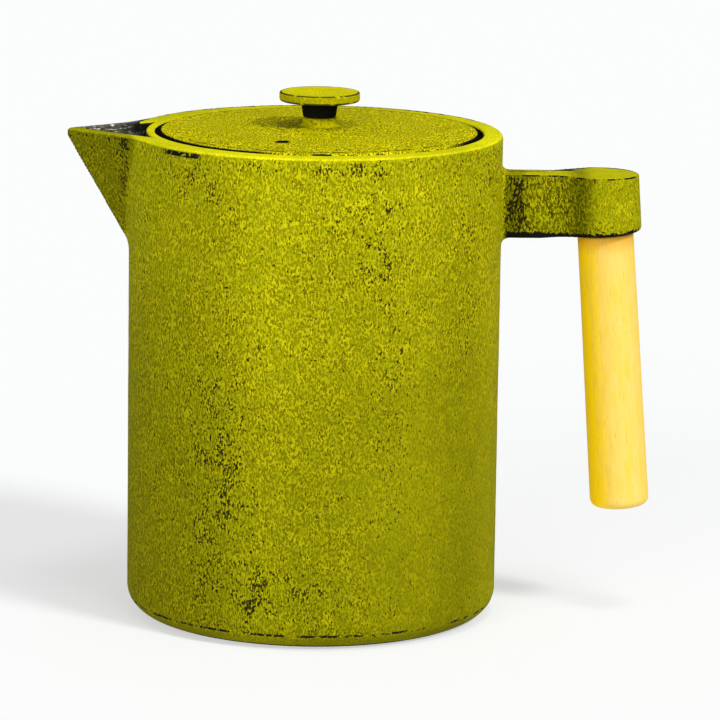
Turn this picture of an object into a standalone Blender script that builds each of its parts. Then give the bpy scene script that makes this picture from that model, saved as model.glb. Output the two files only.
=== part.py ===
"""Cast iron teapot with a lift-off lid, a lift-out strainer and a wooden grip.

Metres, +Z up. The origin is the centre of the base, on the body's axis. The spout points along -X and
the handle along +X.
"""

import math

import bmesh
import bpy
from mathutils import Matrix, Vector

MM = 0.001

# Body
BODY_RADIUS = 58 * MM
BODY_HEIGHT = 151.7 * MM
BASE_FILLET = 8 * MM
RIM_FILLET = 1.3 * MM
WALL = 4 * MM
FLOOR = 5 * MM
FLOOR_FILLET = 6 * MM
CORE_OFFSET = 0.9 * MM  # the casting's core, with all that sits in it, stands this far towards the handle

# Seat inside the rim, where the lid and the strainer sit
SEAT_RADIUS = 51 * MM
SEAT_DEPTH = 5.5 * MM
LEDGE_RADIUS = 46.9 * MM
LEDGE_THICKNESS = 2.6 * MM
LEDGE_SLOPE = 0.7
BRIDGE_RADIUS = 53.6 * MM
BRIDGE_THICKNESS = 4 * MM

# Spout
SPOUT_APEX = 77.9 * MM
SPOUT_HALF_ANGLE = math.radians(38)
SPOUT_LIP = 2.5 * MM
SPOUT_RISE = 1.746
SPOUT_WALL = 3 * MM
SPOUT_NOSE = 1.2 * MM
CHANNEL_NOSE = 2.4 * MM
SPOUT_BLEND = 8 * MM
BLEND_SHARE = 0.8  # most of a flat side that its blend may take
REAR_SHARE = 0.9  # how far back a channel's flat side runs before it turns straight
SPOUT_DEPTH = 42 * MM

# Handle arm and grip
LEAN = math.radians(4.33)
ARM_TOP = 139.75 * MM
ARM_UNDERSIDE = 119.5 * MM
ARM_HALF_WIDTH = 5.5 * MM
ARM_START = 52 * MM
ARM_EDGE = 0.9 * MM
BOSS_AXIS_X = 89.95 * MM
BOSS_UNDERSIDE = 121.05 * MM
BOSS_RADIUS = 11.9 * MM
BOSS_NECK_FILLET = 10 * MM
ARM_ROOT_FILLET = 2.5 * MM
GRIP_LENGTH = 87.2 * MM
GRIP_TOP_RADIUS = 8.8 * MM
GRIP_BOTTOM_RADIUS = 9.3 * MM
GRIP_OFFSET = 0.45 * MM  # the grip stands a little outside the middle of its boss
GRIP_END_FILLET = 2.6 * MM
STUD_RADIUS = 3 * MM
STUD_IN_BOSS = 12 * MM
INSERT_RADIUS = 4.5 * MM
INSERT_LENGTH = 12.4 * MM
BORE_SPARE = 0.9 * MM

# Lid and knob
LID_RADIUS = 49.3 * MM
LID_EDGE = 0.7 * MM
LID_PROUD = 0.3 * MM
LID_DOME = 1.5 * MM
LID_UNDERSIDE = 3.9 * MM
SKIRT_RADIUS = 43.5 * MM
SKIRT_WALL = 3 * MM
SKIRT_DEPTH = 6 * MM
LID_RINGS = (0.75, 0.5, 0.25)
KNOB_PARTING = 156.2 * MM
LID_BOSS_RADIUS = 5.3 * MM
LID_BOSS_FILLET = 1.2 * MM
VENT_RADIUS = 2.1 * MM
VENT_DISTANCE = 32.8 * MM
VENT_ANGLE = math.radians(250)
KNOB_RADIUS = 12.5 * MM
KNOB_TOP = 164 * MM
KNOB_THICKNESS = 2.9 * MM
KNOB_EDGE = 0.6 * MM
KNOB_NECK_RADIUS = 5.9 * MM
KNOB_FOOT_RADIUS = 5.1 * MM
SCREW_RADIUS = 2.5 * MM
SCREW_HEAD_RADIUS = 4.5 * MM
SCREW_HEAD = 3 * MM
SCREW_SOCKET_RADIUS = 1.7 * MM
SCREW_SOCKET_DEPTH = 1.6 * MM
HEX_SIDES = 6
SCREW_IN_KNOB = 4.9 * MM
WASHER_RADIUS = 6 * MM
WASHER_THICKNESS = 1.2 * MM

# Strainer
FLANGE_RADIUS = 50.3 * MM
FLANGE_THICKNESS = 1 * MM
COLLAR_RADIUS = 45.9 * MM
COLLAR_DEPTH = 6.5 * MM
SHEET = 0.6 * MM
BASKET_BOTTOM = 41.5 * MM
BASE_CUP_HEIGHT = 2.4 * MM

GAP = 0.3 * MM
OVERCUT = 2 * MM

# Facets
BODY_STEPS = 72
ROUND_STEPS = 48
SMALL_STEPS = 24
BASE_STEPS = 6
RIM_STEPS = 3
FLOOR_STEPS = 4
NOSE_STEPS = 2
BLEND_STEPS = 4
KEEL_STEPS = 7
NECK_STEPS = 5
BOSS_STEPS = 12
ROOT_STEPS = 4
EDGE_STEPS = 2
GRIP_END_STEPS = 5
SMOOTH_ANGLE = math.radians(35)
BEVEL_ANGLE = math.radians(60)

SEAT_LEVEL = BODY_HEIGHT - SEAT_DEPTH
LID_BASE = BODY_HEIGHT - LID_UNDERSIDE
LID_EDGE_TOP = BODY_HEIGHT + LID_PROUD
CAVITY_RADIUS = BODY_RADIUS - WALL


def clear_scene():
    for obj in list(bpy.data.objects):
        bpy.data.objects.remove(obj, do_unlink=True)


def material(name, colour, roughness, metallic):
    made = bpy.data.materials.new(name)
    made.use_nodes = True
    shader = made.node_tree.nodes["Principled BSDF"]
    shader.inputs["Base Color"].default_value = (*colour, 1)
    shader.inputs["Roughness"].default_value = roughness
    shader.inputs["Metallic"].default_value = metallic
    return made


def add_object(name, bm, finish):
    """Turn a bmesh into a named object with outward faces and smooth round sides."""
    bmesh.ops.recalc_face_normals(bm, faces=bm.faces)
    mesh = bpy.data.meshes.new(name)
    bm.to_mesh(mesh)
    bm.free()
    mesh.shade_smooth()
    mesh.set_sharp_from_angle(angle=SMOOTH_ANGLE)
    obj = bpy.data.objects.new(name, mesh)
    bpy.context.scene.collection.objects.link(obj)
    if finish:
        mesh.materials.append(finish)
    return obj


def arc(centre, radius, start, end, steps):
    """Points on a circular arc in a plane, angles in degrees."""
    points = []
    for i in range(steps + 1):
        angle = math.radians(start + (end - start) * i / steps)
        points.append((centre[0] + radius * math.cos(angle), centre[1] + radius * math.sin(angle)))
    return points


def turned(name, profile, steps, finish=None):
    """Solid of revolution about Z from a (radius, z) profile. A profile off the axis closes on itself."""
    bm = bmesh.new()
    rings = []
    for radius, z in profile:
        if radius == 0:
            rings.append([bm.verts.new((0, 0, z))])
            continue
        angles = [2 * math.pi * i / steps for i in range(steps)]
        rings.append([bm.verts.new((radius * math.cos(a), radius * math.sin(a), z)) for a in angles])
    pairs = list(zip(rings, rings[1:]))
    if profile[0][0] > 0:
        pairs.append((rings[-1], rings[0]))
    for lower, upper in pairs:
        for i in range(steps):
            j = (i + 1) % steps
            corners = [lower[i % len(lower)], lower[j % len(lower)]]
            corners += [upper[j % len(upper)], upper[i % len(upper)]]
            bm.faces.new(list(dict.fromkeys(corners)))
    return add_object(name, bm, finish)


def lofted(name, sections, finish=None):
    """Solid through closed sections with equal counts of points, capped at both ends."""
    bm = bmesh.new()
    loops = [[bm.verts.new(point) for point in section] for section in sections]
    for lower, upper in zip(loops, loops[1:]):
        for i in range(len(lower)):
            j = (i + 1) % len(lower)
            bm.faces.new((lower[i], lower[j], upper[j], upper[i]))
    bm.faces.new(loops[0])
    bm.faces.new(loops[-1])
    return add_object(name, bm, finish)


def combine(target, tool, operation):
    """Boolean of a hidden tool with the target."""
    modifier = target.modifiers.new(tool.name, "BOOLEAN")
    modifier.operation = operation
    modifier.object = tool
    tool.hide_render = True
    tool.display_type = "WIRE"


def on_core_axis(obj):
    """Stand an object on the axis of the casting's core."""
    obj.location.x += CORE_OFFSET
    return obj


# ---- pot body ----------------------------------------------------------------

def body_shell(finish):
    profile = [(0, 0)]
    profile += arc((BODY_RADIUS - BASE_FILLET, BASE_FILLET), BASE_FILLET, -90, 0, BASE_STEPS)
    rim_centre = (BODY_RADIUS - RIM_FILLET, BODY_HEIGHT - RIM_FILLET)
    profile += arc(rim_centre, RIM_FILLET, 0, 90, RIM_STEPS)
    profile.append((0, BODY_HEIGHT))
    return turned("pot_body", profile, BODY_STEPS, finish)


def ledge_underside(radius):
    """Height of the ledge's sloping underside at a radius."""
    return SEAT_LEVEL - LEDGE_THICKNESS - (radius - LEDGE_RADIUS) * LEDGE_SLOPE


def cavity_cutter():
    profile = [(0, FLOOR)]
    floor_centre = (CAVITY_RADIUS - FLOOR_FILLET, FLOOR + FLOOR_FILLET)
    profile += arc(floor_centre, FLOOR_FILLET, -90, 0, FLOOR_STEPS)
    profile.append((CAVITY_RADIUS, ledge_underside(CAVITY_RADIUS)))
    profile.append((LEDGE_RADIUS, ledge_underside(LEDGE_RADIUS)))
    profile.append((LEDGE_RADIUS, SEAT_LEVEL))
    profile.append((SEAT_RADIUS, SEAT_LEVEL))
    profile.append((SEAT_RADIUS, BODY_HEIGHT + OVERCUT))
    profile.append((0, BODY_HEIGHT + OVERCUT))
    return on_core_axis(turned("cavity_cutter", profile, BODY_STEPS))


def seat_bridge_keeper():
    """Space of the seat ring, which bridges the spout's channel and is not cut by it."""
    low = SEAT_LEVEL - BRIDGE_THICKNESS
    high = BODY_HEIGHT + 2 * OVERCUT
    profile = [(0, low), (BRIDGE_RADIUS, low), (BRIDGE_RADIUS, high), (0, high)]
    return on_core_axis(turned("seat_bridge_keeper", profile, BODY_STEPS))


def keel_setback(z):
    """How far the spout's front edge has drawn back towards the body at a height."""
    return max(0, (BODY_HEIGHT - SPOUT_LIP - z) / SPOUT_RISE)


def wedge_outline(apex, nose, z, rear_x, blend):
    """Plan of the spout at one height: a rounded nose, two flat sides and a blend into the body."""
    along = Vector((math.cos(SPOUT_HALF_ANGLE), math.sin(SPOUT_HALF_ANGLE)))
    tip = Vector((-apex, 0))
    nose_start = nose / math.tan(SPOUT_HALF_ANGLE)
    nose_centre = tip + Vector((nose / math.sin(SPOUT_HALF_ANGLE), 0))
    half = []
    for i in range(NOSE_STEPS + 1):
        angle = math.pi - (math.pi / 2 - SPOUT_HALF_ANGLE) * i / NOSE_STEPS
        half.append(nose_centre + nose * Vector((math.cos(angle), math.sin(angle))))
    half[-1] = tip + along * nose_start
    if blend:
        half += side_blend(tip, along, nose_start)
    else:
        rear = tip + along * REAR_SHARE * (rear_x + apex) / along.x
        steps = BLEND_STEPS + 1
        half += [half[-1].lerp(rear, i / steps) for i in range(1, steps + 1)]
    half.append(Vector((rear_x, half[-1].y)))
    mirrored = [Vector((p.x, -p.y)) for p in reversed(half[1:])]
    return [(p.x, p.y, z) for p in mirrored + half]


def side_blend(tip, along, nose_start):
    """Curve from the spout's flat side round into the body's outside."""
    skin = BODY_RADIUS - GAP
    reach = tip.dot(along)
    to_body = -reach - math.sqrt(max(0, reach * reach - tip.length_squared + skin * skin))
    length = min(SPOUT_BLEND, BLEND_SHARE * max(to_body - nose_start, 0))
    corner = tip + along * to_body
    start = tip + along * (to_body - length)
    angle = math.atan2(corner.y, corner.x) - length / skin
    end = skin * Vector((math.cos(angle), math.sin(angle)))
    points = []
    for i in range(BLEND_STEPS + 1):
        t = i / BLEND_STEPS
        points.append(start * (1 - t) ** 2 + corner * 2 * t * (1 - t) + end * t * t)
    return points


def spout_outside():
    heights = [BODY_HEIGHT, BODY_HEIGHT - SPOUT_LIP]
    heights += [BODY_HEIGHT - SPOUT_LIP - SPOUT_DEPTH * i / KEEL_STEPS for i in range(1, KEEL_STEPS + 1)]
    sections = []
    for z in heights:
        apex = SPOUT_APEX - keel_setback(z)
        clear = apex > BODY_RADIUS + 2 * SPOUT_NOSE
        sections.append(wedge_outline(apex, SPOUT_NOSE, z, -(CAVITY_RADIUS - WALL), clear))
    return lofted("spout_outside", sections)


def spout_channel_cutter():
    shift = SPOUT_WALL / math.sin(SPOUT_HALF_ANGLE)
    levels = (BODY_HEIGHT + OVERCUT, BODY_HEIGHT - SPOUT_LIP, BODY_HEIGHT - SPOUT_DEPTH)
    sections = []
    for z in levels:
        apex = SPOUT_APEX - keel_setback(z) - shift
        sections.append(wedge_outline(apex, CHANNEL_NOSE, z, -(LEDGE_RADIUS - OVERCUT), False))
    return lofted("spout_channel_cutter", sections)


def arm_outline():
    """Plan of the handle arm: a bar that swells through concave fillets into the round boss."""
    fillet_y = ARM_HALF_WIDTH + BOSS_NECK_FILLET
    reach = BOSS_RADIUS + BOSS_NECK_FILLET
    fillet_x = BOSS_AXIS_X - math.sqrt(reach * reach - fillet_y * fillet_y)
    meet = math.degrees(math.atan2(fillet_y, BOSS_AXIS_X - fillet_x))
    half = [(ARM_START, ARM_HALF_WIDTH)]
    half += arc((fillet_x, fillet_y), BOSS_NECK_FILLET, -90, -meet, NECK_STEPS)
    half += arc((BOSS_AXIS_X, 0), BOSS_RADIUS, 180 - meet, 0, BOSS_STEPS)[1:]
    return half + [(x, -y) for x, y in reversed(half[:-1])]


def boss_underside(x):
    """The boss's underside is square to the leaning grip, and the bar's is level."""
    return max(ARM_UNDERSIDE, BOSS_UNDERSIDE + (x - BOSS_AXIS_X) * math.tan(LEAN))


def handle_arm():
    sections = []
    for level in (0, 1):
        section = []
        for x, y in arm_outline():
            z = boss_underside(x) * (1 - level) + ARM_TOP * level
            section.append((x + (BOSS_UNDERSIDE - z) * math.tan(LEAN), y, z))
        sections.append(section)
    arm = lofted("handle_arm", sections)
    edges = arm.modifiers.new("rounded_edges", "BEVEL")
    edges.width = ARM_EDGE
    edges.segments = EDGE_STEPS
    edges.angle_limit = BEVEL_ANGLE
    return arm


def arm_root():
    """Fillet where the arm grows out of the body."""
    middle = (ARM_TOP + boss_underside(BODY_RADIUS)) / 2
    half_height = (ARM_TOP - boss_underside(BODY_RADIUS)) / 2
    sections = []
    for i in range(ROOT_STEPS + 1):
        angle = math.pi / 2 * i / ROOT_STEPS
        x = BODY_RADIUS - GAP + ARM_ROOT_FILLET * (1 - math.cos(angle))
        spread = ARM_ROOT_FILLET * (1 - math.sin(angle)) - GAP
        sections.append(rounded_section(x, ARM_HALF_WIDTH + spread, middle, half_height + spread))
    inner = [(BODY_RADIUS - WALL, y, z) for x, y, z in sections[0]]
    return lofted("arm_root", [inner] + sections)


def rounded_section(x, half_width, middle, half_height):
    """Rectangle with rounded corners in a plane across X."""
    points = []
    corners = ((1, 1, 0), (-1, 1, 90), (-1, -1, 180), (1, -1, 270))
    for side_y, side_z, start in corners:
        centre = (side_y * (half_width - ARM_EDGE), middle + side_z * (half_height - ARM_EDGE))
        points += [(x, y, z) for y, z in arc(centre, ARM_EDGE, start, start + 90, EDGE_STEPS)]
    return points


def on_grip_axis(obj):
    """Stand an object on the grip's leaning axis, with its zero at the boss's underside."""
    place = Matrix.Translation((BOSS_AXIS_X, 0, BOSS_UNDERSIDE))
    lean = Matrix.Rotation(-LEAN, 4, "Y")
    obj.matrix_world = place @ lean @ Matrix.Translation((GRIP_OFFSET, 0, 0))


def stud_hole_cutter():
    radius = STUD_RADIUS + GAP
    depth = STUD_IN_BOSS + GAP
    profile = [(0, -OVERCUT), (radius, -OVERCUT), (radius, depth), (0, depth)]
    cutter = turned("stud_hole_cutter", profile, SMALL_STEPS)
    on_grip_axis(cutter)
    return cutter


def pot_body(iron):
    body = body_shell(iron)
    channel = spout_channel_cutter()
    combine(channel, seat_bridge_keeper(), "DIFFERENCE")
    combine(body, spout_outside(), "UNION")
    combine(body, handle_arm(), "UNION")
    combine(body, arm_root(), "UNION")
    combine(body, cavity_cutter(), "DIFFERENCE")
    combine(body, channel, "DIFFERENCE")
    combine(body, stud_hole_cutter(), "DIFFERENCE")


# ---- lid and knob ------------------------------------------------------------

def lid_surface(radius):
    """Height of the lid's gently domed top at a radius."""
    return LID_EDGE_TOP + LID_DOME * (1 - (radius / LID_RADIUS) ** 2)


def lid(iron):
    bore = SCREW_RADIUS + GAP
    skirt_inside = SKIRT_RADIUS - SKIRT_WALL
    skirt_low = LID_BASE - SKIRT_DEPTH
    boss_foot = LID_BOSS_RADIUS + LID_BOSS_FILLET
    profile = [(bore, LID_BASE), (skirt_inside, LID_BASE), (skirt_inside, skirt_low)]
    profile += [(SKIRT_RADIUS, skirt_low), (SKIRT_RADIUS, LID_BASE), (LID_RADIUS - LID_EDGE, LID_BASE)]
    profile.append((LID_RADIUS, LID_BASE + LID_EDGE))
    profile += arc((LID_RADIUS - LID_EDGE, LID_EDGE_TOP - LID_EDGE), LID_EDGE, 0, 90, EDGE_STEPS)
    profile += [(share * LID_RADIUS, lid_surface(share * LID_RADIUS)) for share in LID_RINGS]
    profile.append((boss_foot, lid_surface(boss_foot)))
    profile.append((LID_BOSS_RADIUS, lid_surface(boss_foot) + LID_BOSS_FILLET))
    profile.append((LID_BOSS_RADIUS, KNOB_PARTING - GAP / 2))
    profile.append((bore, KNOB_PARTING - GAP / 2))
    plate = on_core_axis(turned("lid", profile, BODY_STEPS, iron))
    combine(plate, vent_cutter(), "DIFFERENCE")


def vent_cutter():
    low = LID_BASE - OVERCUT
    high = BODY_HEIGHT + LID_DOME + OVERCUT
    profile = [(0, low), (VENT_RADIUS, low), (VENT_RADIUS, high), (0, high)]
    cutter = turned("vent_cutter", profile, SMALL_STEPS)
    cutter.location = (VENT_DISTANCE * math.cos(VENT_ANGLE), VENT_DISTANCE * math.sin(VENT_ANGLE), 0)
    return on_core_axis(cutter)


def lid_knob(iron):
    foot = KNOB_PARTING + GAP / 2
    underside = KNOB_TOP - KNOB_THICKNESS
    bore = SCREW_RADIUS + GAP
    bore_end = foot + SCREW_IN_KNOB + GAP
    profile = [(0, bore_end), (bore, bore_end), (bore, foot), (KNOB_FOOT_RADIUS, foot)]
    profile += [(KNOB_NECK_RADIUS, underside), (KNOB_RADIUS - KNOB_EDGE, underside)]
    profile.append((KNOB_RADIUS, underside + KNOB_EDGE))
    profile += arc((KNOB_RADIUS - KNOB_EDGE, KNOB_TOP - KNOB_EDGE), KNOB_EDGE, 0, 90, EDGE_STEPS)
    profile.append((0, KNOB_TOP))
    on_core_axis(turned("lid_knob", profile, ROUND_STEPS, iron))


def knob_washer(rubber):
    bore = SCREW_RADIUS + GAP
    high = LID_BASE - GAP
    low = high - WASHER_THICKNESS
    profile = [(bore, low), (WASHER_RADIUS, low), (WASHER_RADIUS, high), (bore, high)]
    on_core_axis(turned("knob_washer", profile, SMALL_STEPS, rubber))


def knob_screw(steel):
    seat = LID_BASE - WASHER_THICKNESS - 2 * GAP
    low = seat - SCREW_HEAD
    tip = KNOB_PARTING + GAP / 2 + SCREW_IN_KNOB
    profile = [(0, low), (SCREW_HEAD_RADIUS - LID_EDGE, low), (SCREW_HEAD_RADIUS, low + LID_EDGE)]
    profile += [(SCREW_HEAD_RADIUS, seat), (SCREW_RADIUS, seat), (SCREW_RADIUS, tip), (0, tip)]
    screw = on_core_axis(turned("knob_screw", profile, SMALL_STEPS, steel))
    socket_low = low - OVERCUT
    socket_high = low + SCREW_SOCKET_DEPTH
    socket = [(0, socket_low), (SCREW_SOCKET_RADIUS, socket_low)]
    socket += [(SCREW_SOCKET_RADIUS, socket_high), (0, socket_high)]
    combine(screw, on_core_axis(turned("hex_socket_cutter", socket, HEX_SIDES)), "DIFFERENCE")


# ---- strainer ----------------------------------------------------------------

def basket_rim(steel):
    low = SEAT_LEVEL + GAP
    high = low + FLANGE_THICKNESS
    inside = COLLAR_RADIUS - SHEET
    profile = [(inside, high - COLLAR_DEPTH), (COLLAR_RADIUS, high - COLLAR_DEPTH)]
    profile += [(COLLAR_RADIUS, low), (FLANGE_RADIUS, low), (FLANGE_RADIUS, high), (inside, high)]
    on_core_axis(turned("basket_rim", profile, BODY_STEPS, steel))


def basket_wall(steel):
    outside = COLLAR_RADIUS - SHEET - GAP
    inside = outside - SHEET
    low = BASKET_BOTTOM + SHEET + GAP
    high = SEAT_LEVEL + FLANGE_THICKNESS
    profile = [(inside, low), (outside, low), (outside, high), (inside, high)]
    on_core_axis(turned("basket_wall", profile, BODY_STEPS, steel))


def basket_base(steel):
    inside = COLLAR_RADIUS - SHEET
    high = BASKET_BOTTOM + BASE_CUP_HEIGHT
    profile = [(0, BASKET_BOTTOM), (COLLAR_RADIUS, BASKET_BOTTOM), (COLLAR_RADIUS, high)]
    profile += [(inside, high), (inside, BASKET_BOTTOM + SHEET), (0, BASKET_BOTTOM + SHEET)]
    on_core_axis(turned("basket_base", profile, BODY_STEPS, steel))


# ---- grip --------------------------------------------------------------------

def handle_grip(wood):
    top = -GAP
    bore = INSERT_RADIUS + GAP
    bore_end = top - INSERT_LENGTH - BORE_SPARE
    end_centre = (GRIP_BOTTOM_RADIUS - GRIP_END_FILLET, GRIP_END_FILLET - GRIP_LENGTH)
    profile = [(0, -GRIP_LENGTH)]
    profile += arc(end_centre, GRIP_END_FILLET, -90, 0, GRIP_END_STEPS)
    profile += [(GRIP_TOP_RADIUS, top), (bore, top), (bore, bore_end), (0, bore_end)]
    on_grip_axis(turned("handle_grip", profile, ROUND_STEPS, wood))


def grip_insert(brass):
    high = -2 * GAP
    low = high - INSERT_LENGTH
    bore = STUD_RADIUS + GAP
    profile = [(bore, low), (INSERT_RADIUS, low), (INSERT_RADIUS, high), (bore, high)]
    on_grip_axis(turned("grip_insert", profile, SMALL_STEPS, brass))


def grip_stud(steel):
    low = -INSERT_LENGTH
    profile = [(0, low), (STUD_RADIUS, low), (STUD_RADIUS, STUD_IN_BOSS), (0, STUD_IN_BOSS)]
    on_grip_axis(turned("grip_stud", profile, SMALL_STEPS, steel))


def build():
    clear_scene()
    pot_body(material("body_iron", (0.31, 0.31, 0.01), 0.6, 0))
    lid(material("lid_iron", (0.38, 0.38, 0.01), 0.6, 0))
    lid_knob(material("knob_iron", (0.35, 0.35, 0.01), 0.6, 0))
    knob_washer(material("washer_rubber", (0.03, 0.03, 0.03), 0.8, 0))
    knob_screw(material("screw_steel", (0.6, 0.6, 0.6), 0.3, 1))
    basket_rim(material("rim_steel", (0.62, 0.62, 0.61), 0.25, 1))
    basket_wall(material("wall_steel", (0.62, 0.62, 0.61), 0.3, 1))
    basket_base(material("base_steel", (0.62, 0.62, 0.61), 0.3, 1))
    handle_grip(material("grip_wood", (0.82, 0.52, 0.16), 0.5, 0))
    grip_insert(material("insert_brass", (0.7, 0.5, 0.2), 0.35, 1))
    grip_stud(material("stud_steel", (0.5, 0.5, 0.5), 0.35, 1))


build()
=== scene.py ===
"""Looks of a cast iron teapot with a lift-off lid, a lift-out strainer and a wooden grip.

Shapes are worked out in millimetres and stored in metres. The origin is the centre of the base, +Z is up,
the spout points along -X and the handle along +X.
"""

import math

import bmesh
import bpy
import numpy as np
from mathutils import Matrix, Vector
from mathutils.geometry import delaunay_2d_cdt


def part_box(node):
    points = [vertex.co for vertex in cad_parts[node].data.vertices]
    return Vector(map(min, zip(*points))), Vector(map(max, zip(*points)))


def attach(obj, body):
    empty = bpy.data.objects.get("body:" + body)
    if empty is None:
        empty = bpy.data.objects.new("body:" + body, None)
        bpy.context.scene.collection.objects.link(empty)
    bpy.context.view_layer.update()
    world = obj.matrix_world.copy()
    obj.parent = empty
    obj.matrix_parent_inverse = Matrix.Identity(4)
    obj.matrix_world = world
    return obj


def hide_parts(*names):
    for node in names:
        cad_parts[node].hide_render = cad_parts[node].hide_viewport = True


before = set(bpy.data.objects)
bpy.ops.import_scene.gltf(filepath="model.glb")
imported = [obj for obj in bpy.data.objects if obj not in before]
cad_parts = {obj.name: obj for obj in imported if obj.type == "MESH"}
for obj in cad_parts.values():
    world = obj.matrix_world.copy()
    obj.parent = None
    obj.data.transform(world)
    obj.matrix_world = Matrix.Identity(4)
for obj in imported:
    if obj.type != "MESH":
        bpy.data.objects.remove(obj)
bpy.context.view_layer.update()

MM = 0.001
TINY = 1e-9
CORNER_ANGLE = 40
FIELD_MARGIN = 0.01


def box_mm(node):
    """Lowest and highest corner of a CAD node in millimetres."""
    low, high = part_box(node)
    return np.array(low) / MM, np.array(high) / MM


POT_LOW, POT_HIGH = box_mm("pot_body")
LID_LOW, LID_HIGH = box_mm("lid")
KNOB_LOW, KNOB_HIGH = box_mm("lid_knob")
SCREW_LOW, SCREW_HIGH = box_mm("knob_screw")
WASHER_LOW, WASHER_HIGH = box_mm("knob_washer")
RIM_LOW, RIM_HIGH = box_mm("basket_rim")
WALL_LOW, WALL_HIGH = box_mm("basket_wall")
CUP_LOW, CUP_HIGH = box_mm("basket_base")

# Body
BODY_RADIUS = POT_HIGH[1]
BODY_HEIGHT = POT_HIGH[2]
BASE_FILLET = 8
RIM_FILLET = 1.3
CORE_X = (LID_LOW[0] + LID_HIGH[0]) / 2
WALL = 4
FLOOR = 5
FLOOR_FILLET = 6
CAVITY_RADIUS = BODY_RADIUS - WALL
SEAT_RADIUS = 51
SEAT_LEVEL = BODY_HEIGHT - 5.5
LEDGE_RADIUS = 46.9
LEDGE_LEVEL = SEAT_LEVEL - 2.6
LEDGE_SLOPE = 0.7
THROAT_FROM = 100
BRIDGE_RADIUS = 53.6
BRIDGE_LEVEL = SEAT_LEVEL - 4
INNER_EDGE = 0.7
SKIN_DEPTH = 0.16

# Spout
SPOUT_APEX = 77.9
SPOUT_HALF_ANGLE = math.radians(38)
SPOUT_LIP_LEVEL = BODY_HEIGHT - 2.5
SPOUT_RISE = 1.746
SPOUT_WALL = 3
SPOUT_REAR = 42
SPOUT_NOSE = 0.585
SPOUT_EDGE = 0.7
CHANNEL_NOSE = 1.2
CHANNEL_REAR = 44.9
CHANNEL_LOW = BODY_HEIGHT - 42
BLEND_LOW_LEVEL, BLEND_LOW = 118, 1.0
BLEND_HIGH_LEVEL, BLEND_HIGH = 140, 4.0

# Handle arm and grip
LEAN = math.radians(4.33)
ARM_TOP = 139.75
ARM_UNDERSIDE = 119.5
ARM_HALF_WIDTH = 5.5
ARM_START = 52
ARM_TOP_EDGE = 0.6
ARM_LOW_EDGE = 1.3
ARM_ROOT_FILLET = 2.5
BOSS_AXIS_X = 89.95
BOSS_UNDERSIDE = 121.05
BOSS_RADIUS = 11.9
NECK_BLEND = 5
STUD_HOLE_RADIUS = 3.3
STUD_HOLE_DEPTH = 12.3
GRIP_LENGTH = 87.2
GRIP_TOP_RADIUS = 8.8
GRIP_BOTTOM_RADIUS = 9.3
GRIP_OFFSET = 0.45
GRIP_END_FILLET = 2.6
STUD_RADIUS = 3
STUD_IN_BOSS = 12
INSERT_RADIUS = 4.5
INSERT_LENGTH = 12.4
PART_GAP = 0.3

# Lid and knob
LID_RADIUS = LID_HIGH[1]
LID_BASE = BODY_HEIGHT - 3.9
LID_EDGE_TOP = BODY_HEIGHT + 0.3
LID_DOME = 1.5
LID_EDGE = 0.7
SKIRT_OUTSIDE = 43.5
SKIRT_INSIDE = 40.5
LID_BOSS_RADIUS = 5.3
LID_BOSS_FILLET = 1.2
BORE_RADIUS = 2.8
VENT_RADIUS = 2.1
VENT_DISTANCE = 32.8
VENT_ANGLE = math.radians(250)
KNOB_RADIUS = KNOB_HIGH[1]
KNOB_DISC = 2.9
KNOB_NECK_RADIUS = 5.85
KNOB_FOOT_RADIUS = 5.1
KNOB_EDGE = 0.6

# Camera
CAMERA_AT = Vector((0, -1426.558, 362.379)) * MM
CAMERA_PITCH = 0.195804
CAMERA_YAW = 0.0102034
CAMERA_ROLL = 0.0146143
CAMERA_LENS = 232.267
SENSOR = 36


# ---- meshes ------------------------------------------------------------------

def new_object(name, mesh):
    made = bpy.data.objects.new(name, mesh)
    bpy.context.scene.collection.objects.link(made)
    return made


def mesh_from(name, points, faces):
    """Mesh from points in millimetres and faces with equal counts of corners."""
    mesh = bpy.data.meshes.new(name)
    corners = faces.shape[1]
    mesh.vertices.add(len(points))
    mesh.vertices.foreach_set("co", (points * MM).astype(np.float32).ravel())
    mesh.loops.add(faces.size)
    mesh.loops.foreach_set("vertex_index", faces.astype(np.int32).ravel())
    mesh.polygons.add(len(faces))
    mesh.polygons.foreach_set("loop_start", np.arange(0, faces.size, corners, dtype=np.int32))
    mesh.update(calc_edges=True)
    mesh.validate()
    mesh.shade_smooth()
    return mesh


def points_of(obj):
    """Points of an object's mesh in millimetres, in its own frame."""
    flat = np.empty(len(obj.data.vertices) * 3, np.float32)
    obj.data.vertices.foreach_get("co", flat)
    return flat.reshape(-1, 3).astype(float) / MM


def add_attributes(obj, **fields):
    for name, values in fields.items():
        layer = obj.data.attributes.new(name, "FLOAT", "POINT")
        layer.data.foreach_set("value", np.asarray(values, np.float32))


def dent_side(obj, points, radius, is_side, dent):
    """Push the points of a turned solid's side in towards its axis."""
    points[:, :2] *= (1 - np.where(is_side, dent, 0) / np.maximum(radius, 1))[:, None]
    obj.data.vertices.foreach_set("co", (points * MM).astype(np.float32).ravel())


def smooth_between_corners(obj):
    obj.data.shade_smooth()
    obj.data.set_sharp_from_angle(angle=math.radians(CORNER_ANGLE))
    return obj


def tidy_mesh(obj):
    """Merge doubled points, turn the faces outward and keep only real corners sharp."""
    bm = bmesh.new()
    bm.from_mesh(obj.data)
    bmesh.ops.remove_doubles(bm, verts=bm.verts, dist=1e-4 * MM)
    bmesh.ops.recalc_face_normals(bm, faces=bm.faces)
    bm.to_mesh(obj.data)
    bm.free()
    return smooth_between_corners(obj)


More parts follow.
